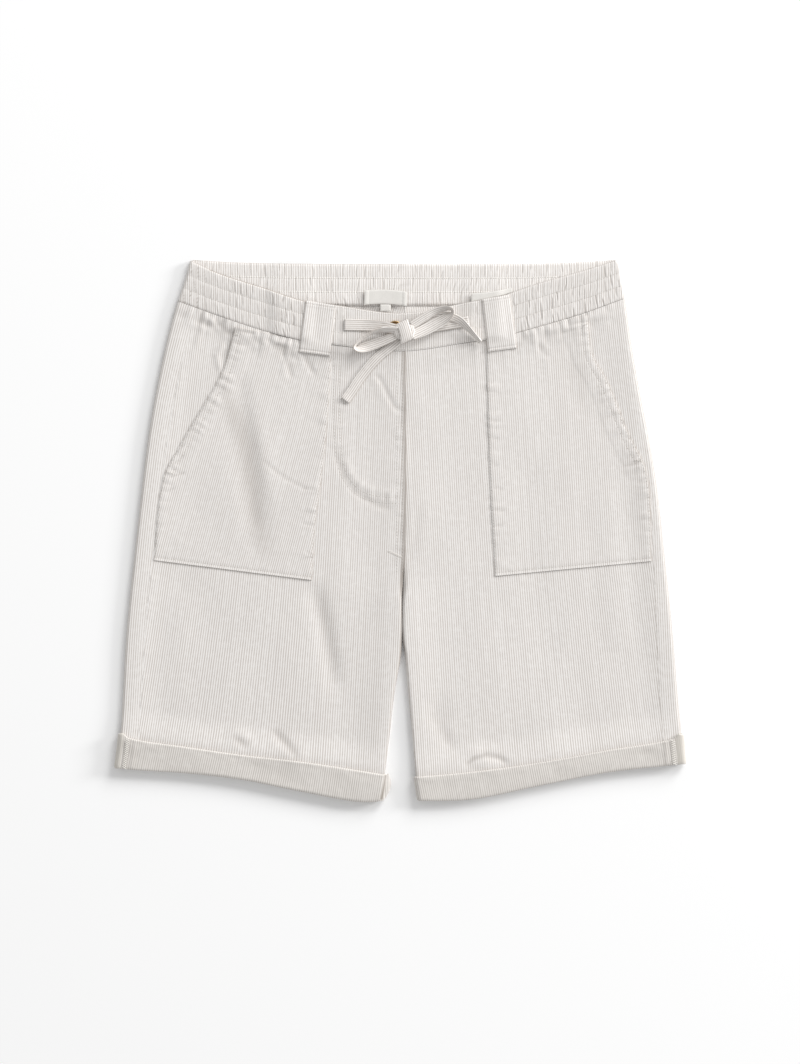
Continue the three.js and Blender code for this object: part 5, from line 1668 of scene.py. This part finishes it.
@dataclass
class Drawstring:
    """The tied tape: strings from the slits, knot, two bows and two free tails."""

    finishes: Finishes
    made: dict[str, bpy.types.Object] = field(default_factory=dict)

    def build(self) -> None:
        """Make every run, and the knot over them."""
        for node, run in TAPE_RUNS.items():
            piece = run.build(self.finishes.tape)
            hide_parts(node)
            self.made[node] = piece
        self.knot()

    def knot(self) -> None:
        """The knot: a round lump, and the tape wrapped once over it, with its ribs along it."""
        centre = np.array([3.6, 187.0, BAND_HEIGHT + 2.8 + 3.8])
        lump = self.lump(centre, (9.6, 8.2, 2.9))
        wrap = self.wrap(centre)
        points = np.concatenate([lump[0], wrap[0]])
        faces = np.concatenate([lump[1], wrap[1] + len(lump[0])])
        weave = np.concatenate([lump[2], wrap[2]])
        painted_shade = np.concatenate([lump[3], wrap[3]])
        piece = make_mesh("knot", points, faces, weave, [self.finishes.tape], painted_shade=painted_shade)
        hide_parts("drawstring_knot")
        self.made["drawstring_knot"] = piece

    def lump(self, centre: Array, half: tuple[float, float, float]) -> tuple[Array, Array, Array, Array]:
        """A rounded lump with soft ribs from top to bottom, closed at both poles."""
        rings, sides = 26, 44
        turn = np.linspace(0, 2 * np.pi, sides, endpoint=False)
        tilt = np.linspace(-np.pi / 2, np.pi / 2, rings + 2)[1:-1]
        c, s = np.cos(tilt)[:, None], np.sin(tilt)[:, None]
        power = 0.72
        shape = lambda v: np.sign(v) * np.abs(v) ** power
        x = shape(c) * shape(np.cos(turn)) * half[0]
        y = shape(s) * half[1] + 0 * x
        z = shape(c) * shape(np.sin(turn)) * half[2]
        z = z * (1 + 0.1 * np.cos(x * 3.6))
        grid = np.stack([x, y, z], -1)
        poles = np.array([[0, -half[1], 0], [0, half[1], 0]])
        points = np.concatenate([grid.reshape(-1, 3), poles])
        index = np.arange(rings * sides).reshape(rings, sides)
        index = np.concatenate([index, index[:, :1]], 1)
        faces = [quads(index)]
        for ring, pole, flip in ((0, rings * sides, True), (rings - 1, rings * sides + 1, False)):
            fan = np.array([[index[ring, j], index[ring, j + 1], index[ring, j + 2], pole]
                            for j in range(0, sides, 2)])
            faces.append(fan[:, ::-1] if flip else fan)
        weave = np.stack([points[:, 0], points[:, 1]], -1)
        angle = -0.25
        spin = np.array([[math.cos(angle), math.sin(angle), 0], [-math.sin(angle), math.cos(angle), 0], [0, 0, 1]])
        # The last value is painted shade in the grooves between the ribs.
        return points @ spin + centre, np.concatenate(faces), weave, 0.45 * (0.5 - 0.5 * np.cos(points[:, 0] * 3.6)) ** 3

    def wrap(self, centre: Array) -> tuple[Array, Array, Array, Array]:
        """A loop of tape round the lump, leaning a little, its middle higher than its edges."""
        around, corners = 56, 20
        turn = np.linspace(0, 2 * np.pi, around, endpoint=False)
        angle = np.linspace(0, 2 * np.pi, corners, endpoint=False)
        wide = np.sign(np.cos(angle)) * np.abs(np.cos(angle)) ** 0.5
        thick = np.sign(np.sin(angle)) * np.abs(np.sin(angle)) ** 0.7
        width = 6.3 + 0.6 * np.cos(turn * 2 + 0.6)
        y = 8.3 * np.sign(np.cos(turn)) * np.abs(np.cos(turn)) ** 0.8
        z = 3.6 * np.sign(np.sin(turn)) * np.abs(np.sin(turn)) ** 0.72
        path = np.stack([0.7 * np.sin(turn) + 0.16 * y, y, z], -1)
        ahead = np.roll(path, -1, 0) - np.roll(path, 1, 0)
        ahead /= np.linalg.norm(ahead, axis=1, keepdims=True)
        side = np.array([0.98, 0.1, 0.0])
        out = np.cross(side, ahead)
        out /= np.linalg.norm(out, axis=1, keepdims=True)
        if (out * path).sum() < 0:
            out = -out
        ribs = 1 + 0.25 * np.cos(wide * math.pi * 4.5)
        crown = 0.5 * (1 - wide ** 2)
        sections = (path[:, None] + side * (width[:, None] * wide)[..., None]
                    + out[:, None] * ((0.55 * thick * ribs + crown)[None, :, None]))
        lean = 0.42
        spin = np.array([[math.cos(lean), math.sin(lean), 0], [-math.sin(lean), math.cos(lean), 0], [0, 0, 1]])
        points, faces = swept(sections @ spin + centre, True)
        run = np.arange(around) * 0.75
        weave = np.stack(np.broadcast_arrays(width[:, None] * wide, run[:, None]), -1).reshape(-1, 2)
        # The last value is painted shade in the grooves between the ribs.
        return points, faces, weave, np.broadcast_to(0.6 * ((1 - np.cos(wide * math.pi * 4.5)) / 2) ** 3,
                                                     sections.shape[:2]).ravel()


def lathe(profile: Sequence[tuple[float, float]], centre: tuple[float, float, float], sides: int
          ) -> tuple[Array, Array]:
    """Points and faces of a turned solid about an upright line; its ends lie on that line."""
    turn = np.linspace(0, 2 * np.pi, sides, endpoint=False)
    ring = np.array(profile[1:-1])
    grid = np.stack([ring[:, :1] * np.cos(turn), ring[:, :1] * np.sin(turn), ring[:, 1:] + 0 * turn], -1)
    ends = np.array([[0, 0, profile[0][1]], [0, 0, profile[-1][1]]])
    points = np.concatenate([grid.reshape(-1, 3), ends]) + np.array(centre)
    index = np.arange(len(ring) * sides).reshape(len(ring), sides)
    index = np.concatenate([index, index[:, :1]], 1)
    faces = [quads(index)]
    for row, pole, flip in ((0, len(ring) * sides, True), (len(ring) - 1, len(ring) * sides + 1, False)):
        fan = np.array([[index[row, j], index[row, j + 1], index[row, j + 2], pole] for j in range(0, sides, 2)])
        faces.append(fan[:, ::-1] if flip else fan)
    return points, np.concatenate(faces)


@dataclass
class Trim:
    """Button and bare labels."""

    finishes: Finishes
    made: dict[str, bpy.types.Object] = field(default_factory=dict)

    def build(self) -> None:
        """Make the button and the three labels."""
        self.button()
        self.label("label_main", "label_with_folded_ends", (-14.1, 220.4), (40.0, 13.4), -0.03, 1.6)
        self.label("label_size_tab", "label_tab_below", (-14.1, 210.0), (10.0, 6.4), 0.0, 0.2)
        self.side_label()

    def button(self) -> None:
        """The shank button: a rolled rim round a dished middle."""
        radius, height = 7.0, 2.2
        roll = [(radius - 0.75 + 0.75 * math.cos(a), height - 0.75 + 0.75 * math.sin(a))
                for a in np.linspace(-0.6, math.pi - 0.4, 10)]
        profile = [(0, 0), (radius - 0.8, 0), (radius - 0.2, 0.4), *roll, (radius - 2.3, height - 0.75),
                   (radius - 4.0, height - 0.9), (1.2, height - 0.8), (0, height - 0.75)]
        points, faces = lathe(profile, (-5.2, 190.6, BAND_HEIGHT + 0.3), 48)
        piece = make_mesh("shank_button", points, faces, points[:, :2], [self.finishes.brass])
        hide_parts("waist_button")
        self.made["waist_button"] = piece

    def patch(self, node: str, name: str, x: Array, y: Array, bottom: Array, thick: float, rim: Array) -> None:
        """A label with soft edges, slightly waved."""
        wave = 0.22 * noise(x, y, 9.0, 81.0)
        top = np.stack([x, y, bottom + thick + wave - 0.3 * bell(rim, 0.6)], -1)
        under = np.stack([x, y, bottom + 0.1 + wave + 0.1 * bell(rim, 0.6)], -1)
        weave = np.stack([x, y], -1)
        piece = ClothPiece(name, top, under, weave, [self.finishes.label]).build()
        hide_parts(node)
        self.made[node] = piece

    def label(self, node: str, name: str, middle: tuple[float, float], size: tuple[float, float], lean: float,
              bow: float) -> None:
        """A bare label on the inside of the back waistband."""
        u, v = rim_spaced(44)[None, :], column(rim_spaced(18))
        px, py = (u - 0.5) * size[0] + 0 * v, (v - 0.5) * size[1] + 0 * u
        x = middle[0] + px * math.cos(lean) - py * math.sin(lean)
        y = middle[1] + px * math.sin(lean) + py * math.cos(lean) - bow * 4 * (u - 0.5) ** 2
        rim = np.minimum(np.minimum(u, 1 - u) * size[0], np.minimum(v, 1 - v) * size[1])
        fold = 0.3 * (1 - smoothstep(np.minimum(u, 1 - u) * size[0], 3.2, 3.8)) * (size[0] > 20)
        bottom = np.full(x.shape, BAND_WALL + GATHER_HEIGHT * 1.2 + SEAM_GAP + 0.35)
        self.patch(node, name, x, y, bottom + fold, 0.8, rim)

    def side_label(self) -> None:
        """The bare strip label that shows beside the front waistband's top edge."""
        u, v = rim_spaced(40)[None, :], column(rim_spaced(12))
        x = lerp(66.5, 105.0, u) + 0 * v
        tall = lerp(7.5, 4.2, u)
        y = FRONT_WAIST.read("top", x) + SEAM_GAP + v * tall
        rim = np.minimum(np.minimum(u, 1 - u) * 38.5, np.minimum(v, 1 - v) * tall)
        bottom = BAND_WALL + GATHER_HEIGHT * 1.2 + SEAM_GAP + back_loop_lift(x, y) + 0.35
        self.patch("label_side", "label_strip", x, y, bottom, 0.8, rim)


# Stitching


def stitches_tree() -> bpy.types.NodeTree:
    """Geometry nodes that lay a stitch at even steps along every edge line of a mesh."""
    tree = bpy.data.node_groups.new("stitch_rows", "GeometryNodeTree")
    for name, direction, kind in (("Geometry", "INPUT", "NodeSocketGeometry"), ("Step", "INPUT", "NodeSocketFloat"),
                                  ("Length", "INPUT", "NodeSocketFloat"), ("Thickness", "INPUT", "NodeSocketFloat"),
                                  ("Turn", "INPUT", "NodeSocketFloat"), ("Seed", "INPUT", "NodeSocketInt"),
                                  ("Thread", "INPUT", "NodeSocketMaterial"),
                                  ("Geometry", "OUTPUT", "NodeSocketGeometry")):
        tree.interface.new_socket(name, in_out=direction, socket_type=kind)
    g = Graph(tree)
    given, result = g.node("NodeGroupInput"), g.node("NodeGroupOutput")
    lines = g.node("GeometryNodeMeshToCurve", {0: given.outputs["Geometry"]})
    spaced = g.node("GeometryNodeResampleCurve", {"Curve": lines.outputs[0], "Length": given.outputs["Step"]},
                    mode="LENGTH")
    ball = g.node("GeometryNodeMeshIcoSphere", {"Radius": 0.5, "Subdivisions": 1})
    smooth = g.node("GeometryNodeSetShadeSmooth", {0: ball.outputs[0]})
    tangent = g.node("GeometryNodeInputTangent")
    aim = g.node("FunctionNodeAlignRotationToVector", {"Vector": tangent.outputs[0]}, axis="X")
    spin = g.node("ShaderNodeCombineXYZ", {2: given.outputs["Turn"]})
    turned = g.node("FunctionNodeRotateRotation", {0: aim.outputs[0]}, rotation_space="LOCAL")
    to_rotation = g.node("FunctionNodeEulerToRotation", {0: spin.outputs[0]})
    g.feed(turned.inputs[1], to_rotation.outputs[0])
    vary = g.node("FunctionNodeRandomValue", data_type="FLOAT")
    lows = [s for s in vary.inputs if s.name == "Min" and s.enabled]
    highs = [s for s in vary.inputs if s.name == "Max" and s.enabled]
    lows[0].default_value, highs[0].default_value = 0.86, 1.1
    g.feed(vary.inputs["Seed"], given.outputs["Seed"])
    share = next(s for s in vary.outputs if s.enabled)
    long = g.math("MULTIPLY", given.outputs["Length"], share)
    size = g.node("ShaderNodeCombineXYZ", {0: long, 1: given.outputs["Thickness"], 2: given.outputs["Thickness"]})
    laid = g.node("GeometryNodeInstanceOnPoints", {"Points": spaced.outputs[0], "Instance": smooth.outputs[0],
                                                   "Rotation": turned.outputs[0], "Scale": size.outputs[0]})
    real = g.node("GeometryNodeRealizeInstances", {0: laid.outputs[0]})
    done = g.node("GeometryNodeSetMaterial", {"Geometry": real.outputs[0], "Material": given.outputs["Thread"]})
    g.feed(result.inputs[0], done.outputs[0])
    return tree


@dataclass(frozen=True)
class StitchSize:
    """Stitch sizes in millimetres, and how far each stitch turns from its row in degrees."""

    step: float = 3.1
    length: float = 2.3
    thickness: float = 0.34
    turn: float = 0.0


class Stitcher:
    """Lays rows of stitching on the finished cloth."""

    def __init__(self, cloth: Iterable[bpy.types.Object], tree: bpy.types.NodeTree) -> None:
        """Keep the cloth's surface to drop rows on.

        Args:
            cloth: the pieces that stitching may lie on.
            tree: the geometry nodes that lay the stitches.
        """
        joined = bmesh.new()
        for piece in cloth:
            joined.from_mesh(piece.data)
        self.surface = BVHTree.FromBMesh(joined)
        joined.free()
        self.tree = tree

    def drop(self, seam: Seam, lift: float) -> list[Vector]:
        """Points of a row on the topmost cloth below it."""
        points = []
        for x, y in seam.spaced(1.6).points:
            start = Vector(((x + SHIFT[0]) * MM, (y + SHIFT[1]) * MM, 0.08))
            hit, _, _, _ = self.surface.ray_cast(start, Vector((0, 0, -1)))
            if hit is not None:
                points.append(hit + Vector((0, 0, lift * MM)))
        return points

    def sew(self, name: str, seams: Sequence[Seam], thread: bpy.types.Material, size: StitchSize = StitchSize()
            ) -> bpy.types.Object:
        """Sew rows as one piece.

        Args:
            name: the piece's name.
            seams: its rows.
            thread: the thread's material.
            size: the stitches' sizes.

        Returns:
            The piece, as a plain mesh.
        """
        points, edges = [], []
        for seam in seams:
            row = self.drop(seam, size.thickness * 0.15)
            edges += [(len(points) + i, len(points) + i + 1) for i in range(len(row) - 1)]
            points += row
        lines = bpy.data.meshes.new(f"{name}_rows")
        lines.from_pydata(points, edges, [])
        rows = bpy.data.objects.new(f"{name}_rows", lines)
        bpy.context.scene.collection.objects.link(rows)
        modifier = rows.modifiers.new("stitches", "NODES")
        modifier.node_group = self.tree
        values = {"Step": size.step * MM, "Length": size.length * MM, "Thickness": size.thickness * MM,
                  "Turn": math.radians(size.turn), "Seed": 7, "Thread": thread}
        for item in self.tree.interface.items_tree:
            if item.in_out == "INPUT" and item.name in values:
                modifier[item.identifier] = values[item.name]
        bpy.context.view_layer.update()
        graph = bpy.context.evaluated_depsgraph_get()
        mesh = bpy.data.meshes.new_from_object(rows.evaluated_get(graph), depsgraph=graph)
        bpy.data.objects.remove(rows)
        piece = bpy.data.objects.new(name, mesh)
        bpy.context.scene.collection.objects.link(piece)
        LOG.info("%s: %d triangles", name, sum(len(p.vertices) - 2 for p in mesh.polygons))
        return piece


# Seen from straight above, as in the picture


@dataclass(frozen=True)
class Studio:
    """Floor, lights and camera."""

    middle: tuple[float, float] = (-0.00022, -0.00111)
    field_height: float = 1.00016
    lens: float = 100.0
    sensor: float = 36.0

    def camera(self) -> None:
        """Camera straight above; the long side of its sensor covers the height of the field."""
        data = bpy.data.cameras.new("camera")
        data.lens, data.sensor_width = self.lens, self.sensor
        away = self.lens / self.sensor * self.field_height
        data.clip_end = 20.0
        eye = bpy.data.objects.new("camera", data)
        eye.location = (self.middle[0], self.middle[1], away + 0.006)
        bpy.context.scene.collection.objects.link(eye)
        bpy.context.scene.camera = eye

    def floor(self, finish: bpy.types.Material) -> None:
        """Plain floor that the shorts lie on."""
        mesh = bpy.data.meshes.new("floor")
        reach = 4.0
        mesh.from_pydata([(-reach, -reach, 0), (reach, -reach, 0), (reach, reach, 0), (-reach, reach, 0)], [],
                         [(0, 1, 2, 3)])
        mesh.materials.append(finish)
        floor = bpy.data.objects.new("floor", mesh)
        floor.location = (0, 0, -0.00002)
        bpy.context.scene.collection.objects.link(floor)

    def lamp(self, name: str, place: tuple[float, float, float], size: tuple[float, float], watts: float) -> None:
        """Soft rectangular lamp aimed at the shorts."""
        data = bpy.data.lights.new(name, "AREA")
        data.shape, data.size, data.size_y, data.energy = "RECTANGLE", size[0], size[1], watts
        lamp = bpy.data.objects.new(name, data)
        lamp.location = place
        lamp.rotation_euler = (-Vector(place)).to_track_quat("-Z", "Y").to_euler()
        bpy.context.scene.collection.objects.link(lamp)

    def build(self, finish: bpy.types.Material) -> None:
        """Set up everything."""
        self.camera()
        self.floor(finish)
        self.lamp("soft_key", (3.5, 4.9, 3.2), (3.2, 3.2), 300.0)
        self.lamp("low_light", (6.8, 2.2, 2.1), (1.8, 1.6), 350.0)
        world = bpy.data.worlds.new("studio_light")
        world.use_nodes = True
        world.node_tree.nodes["Background"].inputs[0].default_value = (1, 1, 1, 1)
        world.node_tree.nodes["Background"].inputs[1].default_value = 0.565
        bpy.context.scene.world = world
        bpy.context.scene.view_settings.view_transform = "Standard"
        bpy.context.scene.view_settings.look = "None"


# Sizes of each piece as it was cut, in metres: width, length and flat area


@dataclass(frozen=True)
class Cut:
    """Flat cut of what shows of a piece, and how it lies."""

    width: float
    length: float
    share: float
    held: str
    rests_on: tuple[str, ...]


CUTS = {
    "front": Cut(0.262, 0.440, 0.80, "laid", ("back", "cuff")),
    "back": Cut(0.300, 0.470, 0.86, "laid", ("cuff",)),
    "pocket": Cut(0.160, 0.235, 0.92, "laid", ("front",)),
    "cuff": Cut(0.520, 0.031, 0.98, "fold_painted_shade", ("back",)),
    "waistband_side": Cut(0.135, 0.044, 1.0, "gathered", ("front",)),
    "waistband_front": Cut(0.098, 0.044, 0.95, "laid", ("front",)),
    "belt_loop_front": Cut(0.030, 0.054, 1.0, "laid", ("waistband_side",)),
    "belt_loop_back": Cut(0.020, 0.048, 1.0, "laid", ("waistband_back",)),
}


class Shorts:
    """The whole garment, put together in the order it lies in."""

    def __init__(self, finishes: Finishes) -> None:
        """Keep the finishes and start the makers."""
        self.finishes = finishes
        self.tailor = Tailor(finishes, 1.0)
        self.drawstring = Drawstring(finishes)
        self.trim = Trim(finishes)
        self.stitching: list[bpy.types.Object] = []

    def build(self) -> None:
        """Make the drawstring first, then the cloth, the trim and the stitching."""
        self.drawstring.build()
        for side in Side:
            self.tailor.front(side)
            self.tailor.back(side)
            self.tailor.pocket(side)
            self.tailor.side_band(side)
            self.tailor.flat_band(side)
            self.tailor.cuff(side)
            self.tailor.front_loop(side)
            self.tailor.back_loop(side)
        self.tailor.back_band()
        self.trim.build()
        for piece in self.tailor.made.values():
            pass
        self.sew()
        self.declare()
        everything = [*self.tailor.made.values(), *self.drawstring.made.values(), *self.trim.made.values(),
                      *self.stitching]
        for piece in everything:
            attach(piece, "root")

    def sew(self) -> None:
        """Sew every row that shows."""
        stitcher = Stitcher(self.tailor.made.values(), stitches_tree())
        for side in Side:
            self.stitching.append(stitcher.sew(f"stitching_{side.value}", self.rows_of(side), self.finishes.thread))
        chain = StitchSize(step=2.2, length=2.2, thickness=0.6)
        self.stitching.append(stitcher.sew("stitching_inside_waistband", self.inside_rows(), self.finishes.overlock,
                                           chain))
        tight = StitchSize(step=1.0, length=3.4, thickness=0.5, turn=72.0)
        self.stitching.append(stitcher.sew("bartacks", self.bartacks(), self.finishes.thread, tight))
        over = StitchSize(step=1.7, length=6.4, thickness=0.65, turn=64.0)
        self.stitching.append(stitcher.sew("overlocked_edges", self.overlocked(), self.finishes.overlock, over))

    def rows_of(self, side: Side) -> list[Seam]:
        """Rows on the front, pocket, waistband and belt loop of a side."""
        shape = PocketShape(side)
        rows = [shape.outer(1.5), shape.outer(7.0, 0.02, shape.opening_end()), shape.inner(1.5), shape.foot(3.0)]
        d = side.inward
        x = np.linspace(float(seam_x(side, 216.0)) + d, LOOP_MIDDLE[side] - d * 14, 40)
        slit_x = np.linspace(LOOP_MIDDLE[side] + d * 14, SLITS[side], 12)
        flat_x = np.linspace(LOOP_MIDDLE[side] + d * 14, CENTRE_FRONT_X - d, 30)
        for share in (0.335, 0.665):
            rows.append(self.across_band(x, share))
            rows.append(self.across_band(slit_x, share))
        rows.append(self.across_band(flat_x, 0.045))
        rows.append(self.across_band(flat_x, 0.955))
        if side is Side.RIGHT:
            down = np.linspace(167, -38, 60)
            for inset in (1.4, 6.4):
                rows.append(Seam(np.stack([np.full_like(down, CENTRE_FRONT_X - inset), down], -1)))
            rows += [FLY_CURVE, FLY_CURVE.offset(-5.5)]
        outer_top, inner_top, inner_foot, outer_foot = (np.array(p) for p in FRONT_LOOPS[side])
        for share in (0.05, 0.99):
            left, right = lerp(outer_top, outer_foot, share), lerp(inner_top, inner_foot, share)
            rows.append(Seam(np.stack([lerp(left, right, t) for t in np.linspace(0.05, 0.95, 8)])))
        return rows

    def across_band(self, x: Array, share: float) -> Seam:
        """Row along the front waistband at a share of its height."""
        return Seam(np.stack([x, lerp(FRONT_WAIST.read("seam", x), FRONT_WAIST.read("top", x), share)], -1))

    def inside_rows(self) -> list[Seam]:
        """Rows on the inside of the back waistband, where it shows above the front."""
        rows = []
        for share in (0.335, 0.665):
            x = np.linspace(-200, 204, 160)
            y = lerp(BACK_WAIST.read("seam", x), BACK_WAIST.read("top", x), share)
            shown = y > FRONT_WAIST.read("top", x) + 1.0
            rows.append(Seam(np.stack([x, y], -1)[shown]))
        return rows

    def bartacks(self) -> list[Seam]:
        """Short dense bars where seams take a pull."""
        bars = [((-11.3, -19.0), (0.6, -24.6))]
        for side in Side:
            shape = PocketShape(side)
            for down, inset in ((0.03, 1.5), (shape.opening_end(), 1.5)):
                x, y = shape.point(down, 0.0)
                x2, y2 = shape.point(down, 0.05)
                bars.append(((float(x) + inset * side.inward, float(y)), (float(x2), float(y2))))
        return [Seam(np.array(bar, float)) for bar in bars]

    def overlocked(self) -> list[Seam]:
        """Overlocked edges of the seam allowances that show on the turned-up cuffs."""
        rows = []
        for side in Side:
            edges = CUFF_STRIPS[side]
            t = np.linspace(0.08, 0.94, 12)
            x0 = float(fold_x(side, -205.0)) + side.inward * (edges[0] + edges[1]) / 2
            top, foot = float(HEM[side].read("top", x0)), float(HEM[side].read("foot", x0))
            y = lerp(top, foot, t)
            x = fold_x(side, y) + side.inward * (edges[0] + edges[1]) / 2
            rows.append(Seam(np.stack([x, y], -1)))
        return rows

    def declare(self) -> None:
        """Work out each free cord's middle line, width and length, and what each sheet of cloth rests on; nothing is
        kept.
        """
        for node in TAILS:
            run = TAPE_RUNS[node]
            middle = (run.spine(10)[0] + SHIFT) * MM
            wide = float(np.mean([row[3] for row in run.rows])) * MM
            run.length() * MM
        for node, piece in self.tailor.made.items():
            base, _, last = node.rpartition("_")
            cut = BACK_BAND_CUT if node == "waistband_back" else CUTS[base]
            under = [self.tailor.made.get(f"{name}_{last}", self.tailor.made.get(name)) for name in cut.rests_on]


BACK_BAND_CUT = Cut(0.520, 0.044, 1.0, "gathered", ())


def main() -> None:
    """Build the scene."""
    finishes = Finishes()
    Studio().build(finishes.floor)
    Shorts(finishes).build()


if __name__ == "__main__":
    main()
